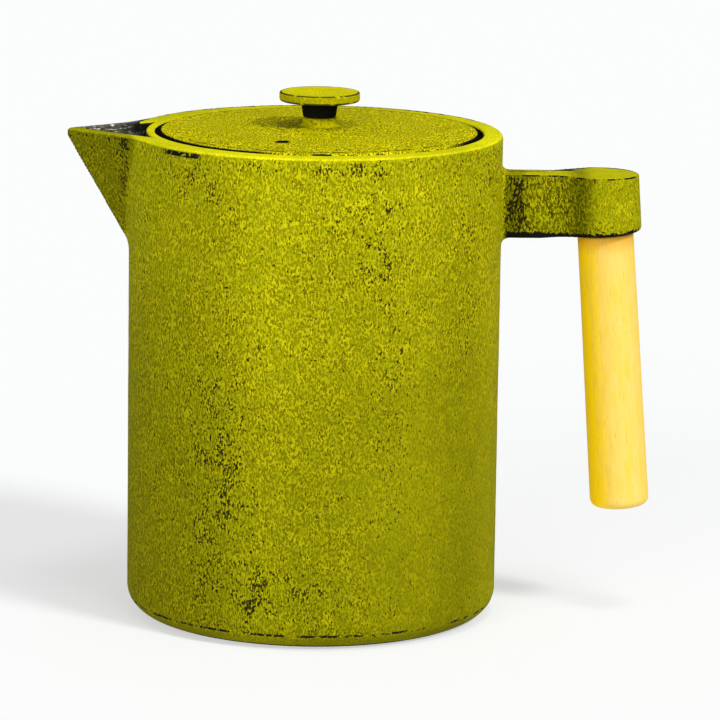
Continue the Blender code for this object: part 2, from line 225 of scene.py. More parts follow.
def rounded(corners, steps=5, closed=False):
    """Profile through (radius, z, fillet) corners, with a short run beside each fillet."""
    count = len(corners)
    points = []
    for i, (r, z, fillet) in enumerate(corners):
        here = np.array((r, z), float)
        is_end = not closed and i in (0, count - 1)
        if is_end or fillet == 0:
            points.append(here)
            continue
        before = np.array(corners[i - 1][:2], float) - here
        after = np.array(corners[(i + 1) % count][:2], float) - here
        before /= np.linalg.norm(before)
        after /= np.linalg.norm(after)
        half = math.acos(np.clip(before @ after, -1, 1)) / 2
        middle = (before + after) / np.linalg.norm(before + after)
        centre = here + middle * fillet / math.sin(half)
        reach = fillet / math.tan(half)
        support = here + before * (reach + 0.2 * fillet)
        points.append(support)
        start = here + before * reach - centre
        end = here + after * reach - centre
        sweep = math.acos(np.clip(start @ end / fillet ** 2, -1, 1))
        for j in range(steps + 1):
            t = j / steps
            turn = (math.sin((1 - t) * sweep) * start + math.sin(t * sweep) * end) / math.sin(sweep)
            points.append(centre + turn)
        points.append(here + after * (reach + 0.2 * fillet))
    return np.array(points)


def ring_mesh(name, radii, heights, closed=False):
    """Surface through rings about Z, one for each row of radii. A closed one joins its ends."""
    rows, steps = radii.shape
    angles = np.arange(steps) * 2 * math.pi / steps
    z = np.broadcast_to(np.reshape(heights, (rows, -1)), radii.shape)
    points = np.stack([radii * np.cos(angles), radii * np.sin(angles), z], -1).reshape(-1, 3)
    last = rows if closed else rows - 1
    row, column = np.meshgrid(np.arange(last), np.arange(steps), indexing="ij")
    above = (row + 1) % rows
    beside = (column + 1) % steps
    corners = (row * steps + column, row * steps + beside, above * steps + beside, above * steps + column)
    faces = np.stack(corners, -1).reshape(-1, 4)
    return tidy_mesh(new_object(name, mesh_from(name, points, faces)))


def turned(name, profile, steps, closed=False):
    """Turned solid from a (radius, z) profile."""
    radii = np.repeat(profile[:, :1], steps, axis=1)
    return ring_mesh(name, radii, profile[:, 1], closed)


def apply_modifiers(obj):
    """Replace an object's mesh with what its modifiers make of it."""
    graph = bpy.context.evaluated_depsgraph_get()
    mesh = bpy.data.meshes.new_from_object(obj.evaluated_get(graph))
    obj.modifiers.clear()
    obj.data = mesh
    return obj


def on_grip_axis(obj):
    """Stand an object on the leaning axis of the grip, with its zero at the boss's underside."""
    place = Matrix.Translation(Vector((BOSS_AXIS_X, 0, BOSS_UNDERSIDE)) * MM)
    offset = Matrix.Translation(Vector((GRIP_OFFSET, 0, 0)) * MM)
    obj.data.transform(place @ Matrix.Rotation(-LEAN, 4, "Y") @ offset)
    return obj


def on_core_axis(obj):
    """Stand an object on the upright axis that the seat, the lid and the strainer share."""
    obj.data.transform(Matrix.Translation(Vector((CORE_X * MM, 0, 0))))
    return obj


# ---- fields ------------------------------------------------------------------

LATTICE_SIDE = 32
LATTICE = np.random.default_rng(7).random((LATTICE_SIDE,) * 3)


def lattice_noise(x, y, z, size):
    """Smooth random field from 0 to 1 with lumps of about one size."""
    whole = [np.floor(v / size) for v in (x, y, z)]
    part = [v / size - w for v, w in zip((x, y, z), whole)]
    part = [p * p * (3 - 2 * p) for p in part]
    cell = [w.astype(int) for w in whole]
    total = 0
    for corner in np.ndindex(2, 2, 2):
        weight = 1
        for side, p in zip(corner, part):
            weight = weight * (p if side else 1 - p)
        index = tuple((c + side) % LATTICE_SIDE for c, side in zip(cell, corner))
        total = total + weight * LATTICE[index]
    return total


def union_round(a, b, radius):
    corner = np.hypot(np.maximum(radius - a, 0), np.maximum(radius - b, 0))
    return np.maximum(radius, np.minimum(a, b)) - corner


def intersection_round(a, b, radius):
    corner = np.hypot(np.maximum(radius + a, 0), np.maximum(radius + b, 0))
    return np.minimum(-radius, np.maximum(a, b)) + corner


def slope_of(field, points, step=0.02):
    """Gradient of a field at points."""
    parts = []
    for axis in range(3):
        shift = np.zeros(3)
        shift[axis] = step
        ahead = field(*(points + shift).T)
        behind = field(*(points - shift).T)
        parts.append((ahead - behind) / (2 * step))
    return np.stack(parts, -1)


def onto_surface(field, points, reach):
    """Move points onto the field's zero surface, each by no more than its reach."""
    start = points
    for _ in range(3):
        slope = slope_of(field, points)
        steep = np.maximum((slope * slope).sum(1), 0.05)
        points = points - slope * (field(*points.T) / steep)[:, None]
    shift = points - start
    length = np.maximum(np.linalg.norm(shift, axis=1), TINY)
    return start + shift * np.minimum(1, reach / length)[:, None]


def crossings(value, axis):
    """Grid edges along an axis that the surface crosses, and how far along each it does."""
    low = [slice(None)] * 3
    high = [slice(None)] * 3
    low[axis] = slice(0, -1)
    high[axis] = slice(1, None)
    a = value[tuple(low)]
    b = value[tuple(high)]
    found = np.argwhere((a < 0) != (b < 0))
    at = tuple(found.T)
    return found, a[at] / (a[at] - b[at]), a[at] < 0


def field_mesh(name, field, xs, ys, zs, reach, low, high):
    """Quad mesh on a field's zero surface, one point for each grid cell that it crosses."""
    value = field(*np.meshgrid(xs, ys, zs, indexing="ij"))
    cells = np.array(value.shape) - 1
    owners = []
    places = []
    for axis in range(3):
        found, along, is_inside_first = crossings(value, axis)
        point = np.stack([grid[found[:, i]] for i, grid in enumerate((xs, ys, zs))], -1)
        steps = np.diff((xs, ys, zs)[axis])
        point[:, axis] += along * steps[found[:, axis]]
        u = (axis + 1) % 3
        w = (axis + 2) % 3
        ring = []
        for back_u, back_w in ((1, 1), (0, 1), (0, 0), (1, 0)):
            cell = found.copy()
            cell[:, u] -= back_u
            cell[:, w] -= back_w
            ring.append(np.ravel_multi_index(tuple(cell.T), cells))
        ring = np.stack(ring, -1)
        ring[~is_inside_first] = ring[~is_inside_first, ::-1]
        owners.append(ring)
        places.append(np.repeat(point[:, None, :], 4, axis=1))
    owners = np.concatenate(owners)
    places = np.concatenate(places).reshape(-1, 3)
    used, index = np.unique(owners.ravel(), return_inverse=True)
    index = index.ravel()
    count = np.bincount(index)
    points = np.stack([np.bincount(index, places[:, i]) / count for i in range(3)], -1)
    points = onto_surface(field, points, reach)
    points = np.clip(points, low, high)
    mesh = mesh_from(name, points, index.reshape(-1, 4))
    slope = slope_of(field, points)
    slope /= np.maximum(np.linalg.norm(slope, axis=1), TINY)[:, None]
    mesh.normals_split_custom_set_from_vertices(slope.tolist())
    return new_object(name, mesh)


def steps_between(stops):
    """Grid lines from (position, spacing) stops: each spacing holds up to the next stop."""
    lines = []
    for (start, spacing), (end, _) in zip(stops, stops[1:]):
        count = max(1, round((end - start) / spacing))
        lines += [start + (end - start) * i / count for i in range(count)]
    lines.append(stops[-1][0])
    return np.array(lines)


# ---- pot body ----------------------------------------------------------------

def skin_wave(x, y, z):
    """Depth of the cast skin's gentle unevenness."""
    broad = lattice_noise(x, y, z, 9)
    small = lattice_noise(x, y, z, 3.4)
    return SKIN_DEPTH * (0.6 * broad + 0.4 * small)


def spout_side(x, y, z, inset, nose):
    """Field of the spout's two flat sides and sloping keel."""
    setback = np.maximum(0, (SPOUT_LIP_LEVEL - z) / SPOUT_RISE)
    ahead = x + SPOUT_APEX - setback - inset
    aside = np.sqrt(y * y + nose * nose)
    field = aside * math.cos(SPOUT_HALF_ANGLE) - ahead * math.sin(SPOUT_HALF_ANGLE)
    steep = math.hypot(1, math.sin(SPOUT_HALF_ANGLE) / SPOUT_RISE)
    field = np.where(z < SPOUT_LIP_LEVEL, field / steep, field)
    return np.maximum(field, x + SPOUT_REAR)


def height_in_arm(x, z):
    """Height above the arm's underside: level under the bar and square to the grip under the boss."""
    px = x + (z - BOSS_UNDERSIDE) * math.tan(LEAN)
    tilted = (z - BOSS_UNDERSIDE - (px - BOSS_AXIS_X) * math.tan(LEAN)) * math.cos(LEAN)
    return np.minimum(tilted, z - ARM_UNDERSIDE)


def arm_outside(x, y, z):
    """Field of the handle arm with its round boss, leaning with the grip."""
    px = x + (z - BOSS_UNDERSIDE) * math.tan(LEAN)
    bar = np.maximum(np.abs(y) - ARM_HALF_WIDTH, np.maximum(ARM_START - px, px - BOSS_AXIS_X))
    boss = np.hypot(px - BOSS_AXIS_X, y) - BOSS_RADIUS
    plan = union_round(bar, boss, NECK_BLEND)
    arm = intersection_round(plan, z - ARM_TOP, ARM_TOP_EDGE)
    return intersection_round(arm, -height_in_arm(x, z), ARM_LOW_EDGE)


def pot_outside(x, y, z):
    wave = skin_wave(x, y, z)
    wall = np.hypot(x, y) - BODY_RADIUS
    rise = (z - BLEND_LOW_LEVEL) / (BLEND_HIGH_LEVEL - BLEND_LOW_LEVEL)
    blend = BLEND_LOW + (BLEND_HIGH - BLEND_LOW) * np.clip(rise, 0, 1)
    side = union_round(wall, spout_side(x, y, z, 0, SPOUT_NOSE), blend)
    towards_spout = np.clip((-x - 50) / 10, 0, 1)
    rim = RIM_FILLET + (SPOUT_EDGE - RIM_FILLET) * towards_spout
    shell = intersection_round(side + wave, z - BODY_HEIGHT + 0.3 * wave, rim)
    shell = intersection_round(shell, -z, BASE_FILLET)
    return union_round(shell, arm_outside(x, y, z) + wave, ARM_ROOT_FILLET)


def seat_hollow(x, y, z):
    """Field of the space that the lid and the strainer's flange sit in."""
    return intersection_round(np.hypot(x - CORE_X, y) - SEAT_RADIUS, SEAT_LEVEL - z, 0.6)


def throat_hollow(x, y, z):
    return np.maximum(np.hypot(x - CORE_X, y) - LEDGE_RADIUS, THROAT_FROM - z)


def main_hollow(x, y, z):
    radius = np.hypot(x - CORE_X, y)
    ceiling = z - LEDGE_LEVEL + (radius - LEDGE_RADIUS) * LEDGE_SLOPE
    cavity = intersection_round(radius - CAVITY_RADIUS, FLOOR - z, FLOOR_FILLET)
    return np.maximum(cavity, ceiling / math.hypot(1, LEDGE_SLOPE))


def channel_hollow(x, y, z):
    """Field of the spout's open channel, which passes below the seat ring."""
    inset = SPOUT_WALL / math.sin(SPOUT_HALF_ANGLE)
    wedge = spout_side(x, y, z, inset, CHANNEL_NOSE)
    rear = np.maximum(x + CHANNEL_REAR, CHANNEL_LOW - z)
    keeper = np.maximum(np.hypot(x - CORE_X, y) - BRIDGE_RADIUS, BRIDGE_LEVEL - z)
    return intersection_round(np.maximum(wedge, rear), -keeper, 0.5)


def stud_hollow(x, y, z):
    """Field of the stud's hole in the boss, on the grip's axis."""
    dx = x - BOSS_AXIS_X
    dz = z - BOSS_UNDERSIDE
    across = dx * math.cos(LEAN) + dz * math.sin(LEAN) - GRIP_OFFSET
    up = dz * math.cos(LEAN) - dx * math.sin(LEAN)
    return np.maximum(np.hypot(across, y) - STUD_HOLE_RADIUS, up - STUD_HOLE_DEPTH)


def pot_hollows(x, y, z):
    """Field of all the open space inside the casting."""
    hollow = np.minimum(main_hollow(x, y, z), throat_hollow(x, y, z))
    hollow = np.minimum(hollow, seat_hollow(x, y, z))
    return np.minimum(hollow, channel_hollow(x, y, z))


def pot_field(x, y, z):
    solid = intersection_round(pot_outside(x, y, z), -seat_hollow(x, y, z), INNER_EDGE)
    solid = intersection_round(solid, -throat_hollow(x, y, z), 0.5)
    solid = intersection_round(solid, -main_hollow(x, y, z), 0.5)
    solid = intersection_round(solid, -channel_hollow(x, y, z), 0.6)
    return np.maximum(solid, -stud_hollow(x, y, z))


def smooth_bump(value, centre, spread):
    return np.exp(-0.5 * ((value - centre) / spread) ** 2)


def ramp(value, start, end):
    t = np.clip((value - start) / (end - start), 0, 1)
    return t * t * (3 - 2 * t)


# Dark patches on the body: degrees from the front, height, half-width in degrees, half-height, strength
PATCHES = (
    (-30, 52, 13, 46, 0.62), (-20, 14, 15, 7, 0.5), (-7, 21, 12, 6, 0.55), (-43, 143, 10, 9, 0.45),
    (-30, 138, 6, 14, 0.35), (20, 128, 6, 20, 0.38), (10, 122, 22, 20, 0.25), (54, 110, 7, 38, 0.35),
    (70, 143, 9, 8, 0.5), (-66, 97, 4, 32, 0.3), (10, 10, 17, 9, 0.3), (24, 78, 8, 28, 0.38),
    (-58, 60, 8, 60, 0.15), (104, 60, 12, 44, 0.45), (128, 118, 16, 22, 0.4), (150, 30, 20, 16, 0.5),
    (172, 92, 10, 40, 0.45), (-168, 132, 18, 14, 0.45), (-150, 48, 14, 40, 0.5), (-122, 96, 9, 34, 0.4),
    (-104, 22, 16, 12, 0.5), (-12, 148, 7, 2, 0.3), (12, 148, 12, 2, 0.3), (66, 132, 8, 14, 0.3),
)

# Where the arm's paint starts and where its bar turns into the boss, along X, and the brightness of the paint
# on the arm and the spout, darkened as painted shade
ARM_SHOWS_FROM = 58
BOSS_FROM, BOSS_FULL = 83.4, 87.4
ARM_SHADED_TONE = 0.72
SPOUT_SHADED_TONE = 0.6

# Brighter and darker upright bands of paint, partly paint tone and partly painted light and shade round the
# wall, such as the darker left edge: degrees from the front, half-width in degrees, strength
TONE_AND_LIGHT_BANDS = (
    (-75, 20, -0.08), (-38, 12, -0.04), (-15, 8, 0.14), (14, 16, -0.04), (50, 9, -0.12), (70, 6, 0.05),
    (120, 20, 0.06), (165, 14, -0.08), (-150, 16, 0.08), (-115, 12, -0.07),
)
PATCH_SHRINK = 0.72


def body_angle(x, y):
    """Degrees round the body from its front, positive towards the handle."""
    return np.degrees(np.arctan2(x, -y))


def is_off_body(x, y, start, end):
    """0 on the body's round wall, 1 on what stands out from it."""
    return ramp(np.hypot(x, y), BODY_RADIUS + start, BODY_RADIUS + end)


def is_arm(x, y):
    return is_off_body(x, y, 0.3, 1.6) * ramp(x, 50, 56)


def is_top_face(x, z):
    """1 on the level top faces of the rim and the arm."""
    arm = ramp(x, ARM_SHOWS_FROM, 60) * ramp(z, ARM_TOP - 0.6, ARM_TOP - 0.2)
    return ramp(z, BODY_HEIGHT - 1.2, BODY_HEIGHT - 0.4) + arm


def turn_between(angle, centre):
    """Degrees from one angle round to another, from -180 to 180."""
    return (angle - centre + 180) % 360 - 180


def body_patina(x, y, z):
    """Density of the black pits on the outside."""
    angle = body_angle(x, y)
    density = np.full(x.shape, 0.10)
    for centre, height, half_width, half_height, strength in PATCHES:
        across = smooth_bump(turn_between(angle, centre), 0, PATCH_SHRINK * half_width)
        density += strength * across * smooth_bump(z, height, PATCH_SHRINK * half_height)
    density += 0.3 * smooth_bump(z, BODY_HEIGHT - 3.2, 1.2)
    return density * (1 - 0.6 * ramp(z, 4.2, 3.4))


def spout_patina(x, y, z):
    corner = smooth_bump(x, -57.5, 2.6) * ramp(z, 126, 136)
    below_edge = smooth_bump(z, BODY_HEIGHT - 2, 1.2) * ramp(-x, 54, 58)
    return is_off_body(x, y, 0.4, 2) * ramp(-x, 40, 50) * (0.16 + 0.75 * corner + 0.5 * below_edge)


def arm_patina(x, y, z):
    root = 0.95 * ramp(-x, -68, -62) * (0.55 + 0.45 * ramp(z, 136, 126))
    bar = 0.14 * ramp(-x, -84, -79)
    low = 0.35 * ramp(height_in_arm(x, z), 4.5, 1.5) * ramp(x, 62, 72)
    return is_off_body(x, y, 0.2, 1.6) * ramp(x, 50, 56) * (0.1 + root + bar + low)


def pot_patina(points):
    x, y, z = points.T
    skin = 1 - is_off_body(x, y, 0.3, 1.5)
    density = skin * body_patina(x, y, z) + spout_patina(x, y, z) + arm_patina(x, y, z)
    return np.clip(density * (1 - 0.9 * is_top_face(x, z)), 0, 1)


def pot_tone_and_light(points):
    """Brightness of the paint, with painted light and shade: darker towards the bottom, upright bands, darker
    low on the base's rounding, a darker spout and arm, a painted shade in the arm's crease, a brighter boss
    and a darker arm root.
    """
    x, y, z = points.T
    angle = body_angle(x, y)
    # painted shade: the paint gets darker towards the bottom, where the wall gets less light
    tone = 1.1 - 0.12 * ramp(z, 145, 105) - 0.2 * ramp(z, 115, 65) - 0.1 * ramp(z, 65, 10)
    for centre, half_width, strength in TONE_AND_LIGHT_BANDS:
        tone += strength * smooth_bump(turn_between(angle, centre), 0, half_width)
    # painted shade: darker low on the base's rounding, which turns under towards the floor
    tone -= 0.12 * ramp(z, 4.2, 3.2)
    # painted shade: the spout's sides get a darker paint
    spout = is_off_body(x, y, 0.3, 1.6) * ramp(-x, 40, 50)
    tone += spout * (SPOUT_SHADED_TONE - tone)
    # painted light and shade on the arm: a darker bar, a brighter boss, a painted shade in the crease between
    # them, and darker near the root
    along = ARM_SHADED_TONE + 0.2 * ramp(x, BOSS_FROM, BOSS_FULL)
    along = along - 0.33 * smooth_bump(x, 82, 2.3) - 0.3 * ramp(-x, -67, -63)
    return tone + is_arm(x, y) * (along - tone)


def pot_relief(points):
    """Strength of the wormy grain, faint on the smooth lower right and strong on the arm."""
    x, y, z = points.T
    angle = body_angle(x, y)
    calm = ramp(angle, 0, 35) * ramp(z, 115, 55) * ramp(-angle, -110, -85)
    relief = 1.0 - 0.5 * calm
    relief *= 1 - 0.5 * ramp(z, 4.2, 3.4)
    relief += is_arm(x, y) * (1.5 - 0.75 * ramp(x, 80, 87) - relief)
    return relief * (1 - 0.65 * is_top_face(x, z))


def pot_enamel(points):
    """1 on the black inside and underneath, 0 on the painted outside, with a ramp across the edges."""
    x, y, z = points.T
    outside = np.abs(pot_outside(x, y, z))
    inside = np.abs(pot_hollows(x, y, z))
    lined = outside / (outside + inside + 0.02) * ramp(z, BODY_HEIGHT - 0.3, BODY_HEIGHT - 0.65)
    off_ring = ramp(np.hypot(x, y), BODY_RADIUS - 1.5, BODY_RADIUS - 0.5)
    far_wall = ramp(y, 0.4, 1.2) * ramp(-x, 46, 48) * ramp(z, BODY_HEIGHT - 0.9, BODY_HEIGHT - 0.4) * off_ring
    return np.maximum(np.maximum(lined, far_wall), ramp(z, 1.0, 0.3))


def pot_glaze(points):
    """Where the inside of the spout gets painted light: paler streaks and white painted glints, more of them
    towards its tip.
    """
    x, y, z = points.T
    return ramp(-x, 56, 64) * ramp(z, BODY_HEIGHT - 16, BODY_HEIGHT - 9)


def make_pot():
    xs = steps_between(((-80, 0.6), (-50, 0.8), (104, 0.8)))
    ys = steps_between(((-60, 0.8), (60, 0.8)))
    zs = steps_between(((-1.5, 0.8), (10, 2.2), (112, 0.9), (140, 0.5), (153, 0.5)))
    pot = field_mesh("pot_casting", pot_field, xs, ys, zs, 0.5,
                     POT_LOW + FIELD_MARGIN, POT_HIGH - FIELD_MARGIN)
    points = points_of(pot)
    enamel = pot_enamel(points)
    add_attributes(pot, patina=pot_patina(points), enamel=enamel, tone=pot_tone_and_light(points),
                   relief=pot_relief(points), glaze=pot_glaze(points))
    pot.data.materials.append(iron_paint("iron_body", BODY_PAINT, pot_edges))
    pot.data.materials.append(black_enamel("enamel_inside"))
    faces = np.empty(len(pot.data.loops), np.int32)
    pot.data.loops.foreach_get("vertex_index", faces)
    is_lined = (enamel[faces.reshape(-1, 4)] > 0.8).all(1)
    pot.data.polygons.foreach_set("material_index", is_lined.astype(np.int32))
    return pot


# ---- lid and knob ------------------------------------------------------------

VENT_X = CORE_X + VENT_DISTANCE * math.cos(VENT_ANGLE)
VENT_Y = VENT_DISTANCE * math.sin(VENT_ANGLE)


def lid_field(x, y, z):
    radius = np.hypot(x - CORE_X, y)
    wave = 0.5 * skin_wave(x, y, z)
    dome = LID_EDGE_TOP + LID_DOME * (1 - (radius / LID_RADIUS) ** 2)
    plate = intersection_round(radius - LID_RADIUS + wave, z - dome + wave, LID_EDGE)
    plate = intersection_round(plate, LID_BASE - z, LID_EDGE)
    boss = intersection_round(radius - LID_BOSS_RADIUS, z - LID_HIGH[2], 0.3)
    boss = np.maximum(boss, LID_BASE - z)
    skirt = np.maximum(radius - SKIRT_OUTSIDE, SKIRT_INSIDE - radius)
    skirt = np.maximum(intersection_round(skirt, LID_LOW[2] - z, 0.6), z - LID_BASE - 1)
    solid = union_round(union_round(plate, boss, LID_BOSS_FILLET), skirt, 0.5)
    vent = np.hypot(x - VENT_X, y - VENT_Y) - VENT_RADIUS
    solid = intersection_round(solid, -vent, 0.45)
    return np.maximum(solid, BORE_RADIUS - radius)


def lid_patina(points):
    x, y, _ = points.T
    density = 0.1 + 0.6 * ramp(np.hypot(x - VENT_X, y - VENT_Y), VENT_RADIUS + 1.0, VENT_RADIUS)
    density += 0.35 * smooth_bump(x, 26, 14) * smooth_bump(y, -6, 20)
    density += 0.15 * smooth_bump(x, -25, 9) * smooth_bump(y, 20, 12)
    return np.clip(density, 0, 1)


def lid_tone(points):
    x, y, _ = points.T
    return 1 + 0.05 * smooth_bump(x, 30, 20) - 0.05 * smooth_bump(y, 28, 12)


def lid_enamel(points):
    """1 on the black underside and in the two holes, 0 on the painted top."""
    x, y, z = points.T
    under = ramp(z, LID_BASE + 2.6, LID_BASE + 1.8)
    hole = ramp(np.hypot(x - VENT_X, y - VENT_Y), VENT_RADIUS + 0.35, VENT_RADIUS)
    bore = ramp(np.hypot(x - CORE_X, y), BORE_RADIUS + 0.5, BORE_RADIUS + 0.1)
    return np.maximum(np.maximum(under, hole), bore)


def make_lid():
    side = steps_between(((-50.4, 0.6), (50.4, 0.6)))
    zs = steps_between(((LID_LOW[2] - 1, 0.7), (LID_BASE - 0.6, 0.4), (LID_HIGH[2] + 1.2, 0.4)))
    lid = field_mesh("lid_casting", lid_field, side + CORE_X, side, zs, 0.35,
                     LID_LOW + FIELD_MARGIN, LID_HIGH - FIELD_MARGIN)
    points = points_of(lid)
    radius = np.hypot(points[:, 0] - CORE_X, points[:, 1])
    relief = 1.8 - 1.2 * ramp(radius, LID_BOSS_RADIUS + 2.5, LID_BOSS_RADIUS + 1)
    add_attributes(lid, patina=lid_patina(points), enamel=lid_enamel(points), tone=lid_tone(points),
                   relief=relief)
    lid.data.materials.append(iron_paint("iron_lid", LIT_LID_PAINT, lid_edges))
    return lid


def make_knob():
    foot = KNOB_LOW[2]
    top = KNOB_HIGH[2]
    under = top - KNOB_DISC
    bore_end = foot + 5.2
    corners = [(0, bore_end, 0), (BORE_RADIUS, bore_end, 0.5), (BORE_RADIUS, foot, 0.2),
               (KNOB_FOOT_RADIUS, foot, 0.3), (KNOB_NECK_RADIUS, under, 1.1),
               (KNOB_RADIUS, under, 0.8), (KNOB_RADIUS, top, KNOB_EDGE), (0, top, 0)]
    profile = rounded(corners, 6)
    knob = turned("knob_casting", profile, 120)
    points = points_of(knob)
    dent = 0.05 * lattice_noise(*points.T, 4.0)
    radius = np.hypot(points[:, 0], points[:, 1])
    is_outside = (radius > BORE_RADIUS + 0.6) & (points[:, 2] > foot + 0.5)
    dent_side(knob, points, radius, is_outside, dent)
    z = points[:, 2]
    # Below the disc the knob is made black: painted shade on the stem under the overhanging disc. The
    # brighter top face and darker side are painted light and shade.
    add_attributes(knob, patina=np.full(len(z), 0.05), enamel=ramp(z, under + 0.25, under + 0.05),
                   tone=0.86 + 0.34 * ramp(z, top - 0.5, top - 0.1), relief=np.full(len(z), 0.45))
    knob.data.materials.append(iron_paint("iron_knob", LIT_LID_PAINT, knob_edges))
    on_core_axis(knob)
    return knob


# ---- screw, stud, insert and washer ------------------------------------------

def thread_radii(heights, steps, radius, pitch, depth):
    """Radii of a helical thread, which fades out over one pitch at both ends."""
    angles = np.arange(steps) / steps
    phase = (heights[:, None] / pitch - angles[None, :]) % 1
    ridge = np.clip(2.4 * np.abs(phase - 0.5) - 0.1, 0, 1)
    fade = np.clip((heights - heights[0]) / pitch, 0, 1) * np.clip((heights[-1] - heights) / pitch, 0, 1)
    return radius - depth * (1 - ridge * fade[:, None])


def hexagon_radii(corner_radius, steps):
    """Radii of a hexagon's outline at equal steps of angle."""
    angles = np.arange(steps) * 360 / steps
    return corner_radius * math.cos(math.radians(30)) / np.cos(np.radians(angles % 60 - 30))


def make_screw():
    steps = 48
    low, high = SCREW_LOW[2], SCREW_HIGH[2]
    head_radius, thread_radius = SCREW_HIGH[1], 2.5
    seat = low + 3
    socket = low + 1.6
    head = rounded([(1.95, low, 0), (head_radius, low, 0.5), (head_radius, seat, 0.2), (2.1, seat, 0)], 4)
    hexagon = hexagon_radii(1.7, steps)
    thread_z = np.arange(seat + 0.1, high - 0.25, 0.1)
    rows = [np.zeros(steps), hexagon, hexagon]
    heights = [socket - 0.15, socket, low + 0.2]
    for radius, z in head:
        rows.append(np.full(steps, radius))
        heights.append(z)
    rows += list(thread_radii(thread_z, steps, thread_radius, 0.8, 0.4))
    heights += list(thread_z)
    for radius, z in ((1.8, high - 0.05), (1.6, high), (0, high)):
        rows.append(np.full(steps, radius))
        heights.append(z)
    screw = on_core_axis(ring_mesh("knob_screw_threaded", np.array(rows), np.array(heights)))
    screw.data.materials.append(machined_steel("steel_screw", 0.3))
    return screw


def make_stud():
    steps = 48
    low, high = -INSERT_LENGTH, STUD_IN_BOSS
    thread_z = np.arange(low + 0.4, high - 0.4, 0.125)
    rows = [np.zeros(steps), np.full(steps, 2.1), np.full(steps, 2.4)]
    heights = [low, low, low + 0.2]
    rows += list(thread_radii(thread_z, steps, STUD_RADIUS, 1.0, 0.5))
    heights += list(thread_z)
    rows += [np.full(steps, 2.4), np.full(steps, 2.1), np.zeros(steps)]
    heights += [high - 0.2, high, high]
    stud = on_grip_axis(ring_mesh("grip_stud_threaded", np.array(rows), np.array(heights)))
    stud.data.materials.append(machined_steel("steel_stud", 0.35))
    return stud


def make_insert():
    """Brass insert with crossed knurling outside."""
    steps = 144
    high = -2 * PART_GAP
    low = high - INSERT_LENGTH
    bore = STUD_RADIUS + PART_GAP
    knurl_z = np.arange(low + 0.9, high - 1.2, 0.2)
    angles = np.arange(steps) / steps
    groove = np.zeros((len(knurl_z), steps))
    for hand in (-1, 1):
        phase = (24 * angles[None, :] + hand * knurl_z[:, None] * 0.7) % 1
        groove = np.maximum(groove, np.clip(1 - 5 * np.abs(phase - 0.5), 0, 1))
    rows = [np.full(steps, bore), np.full(steps, bore + 0.3), np.full(steps, INSERT_RADIUS - 0.4)]
    heights = [low + 0.3, low, low]
    rows.append(np.full(steps, INSERT_RADIUS - 0.1))
    heights.append(low + 0.5)
    rows += list(INSERT_RADIUS - 0.35 * groove)
    heights += list(knurl_z)
    for radius, z in ((INSERT_RADIUS - 0.5, high - 1.1), (INSERT_RADIUS - 0.5, high - 0.9),
                      (INSERT_RADIUS, high - 0.8), (INSERT_RADIUS, high - 0.15), (INSERT_RADIUS - 0.15, high),
                      (bore + 0.3, high), (bore, high - 0.3)):
        rows.append(np.full(steps, radius))
        heights.append(z)
    insert = on_grip_axis(ring_mesh("grip_insert_knurled", np.array(rows), np.array(heights), closed=True))
    insert.data.materials.append(brass("brass_insert"))
    return insert


def make_washer():
    low, high = WASHER_LOW[2], WASHER_HIGH[2]
    outside = WASHER_HIGH[1]
    corners = [(BORE_RADIUS, low, 0.3), (outside, low, 0.45), (outside, high, 0.45), (BORE_RADIUS, high, 0.3)]
    washer = on_core_axis(turned("knob_washer_ring", rounded(corners, 4, closed=True), 64, closed=True))
    washer.data.materials.append(rubber("rubber_washer"))
    return washer


# ---- strainer ----------------------------------------------------------------

SHEET = 0.6
COLLAR_RADIUS = 45.9
HOLE_RADIUS = 0.85
HOLES_AROUND = 80


def make_rim():
    low, high = RIM_LOW[2], RIM_HIGH[2]
    outside = RIM_HIGH[1]
    inside = COLLAR_RADIUS - SHEET
    seat = high - 1
    corners = [(inside, low, 0.2), (COLLAR_RADIUS, low, 0.2), (COLLAR_RADIUS, seat, 0.35),
               (outside, seat, 0.4), (outside, high, 0.4), (inside, high, 0.5)]
    rim = on_core_axis(turned("strainer_rim", rounded(corners, 4, closed=True), 180, closed=True))
    rim.data.materials.append(brushed_steel("steel_rim", 0.18, 30))
    return rim


def perforated_rows(radius, low, high):
    """Points and faces of a tube with staggered rows of round holes, on a grid of half cells."""
    pitch = 2 * math.pi * radius / HOLES_AROUND
    rows = int((high - low) / pitch)
    columns = 2 * HOLES_AROUND
    start = low + (high - low - rows * pitch) / 2
    around, up = np.meshgrid(np.arange(columns), np.arange(2 * rows + 1), indexing="xy")
    flat = [(u * pitch / 2, start + v * pitch / 2) for u, v in zip(around.ravel(), up.ravel())]
    faces = []
    ring = ((2, 1), (2, 2), (1, 2), (0, 2), (0, 1), (0, 0), (1, 0), (2, 0))
    for row in range(rows):
        for cell in range(HOLES_AROUND):
            left = 2 * cell + row % 2
            outer = [(2 * row + dv) * columns + (left + du) % columns for du, dv in ring]
            first = len(flat)
            centre_u = (left + 1) * pitch / 2
            centre_v = start + (2 * row + 1) * pitch / 2
            for k in range(8):
                angle = math.pi * k / 4
                flat.append((centre_u + HOLE_RADIUS * math.cos(angle),
                             centre_v + HOLE_RADIUS * math.sin(angle)))
            for k in range(8):
                after = (k + 1) % 8
                faces.append((outer[k], outer[after], first + after, first + k))
    return flat, faces, columns, 2 * rows


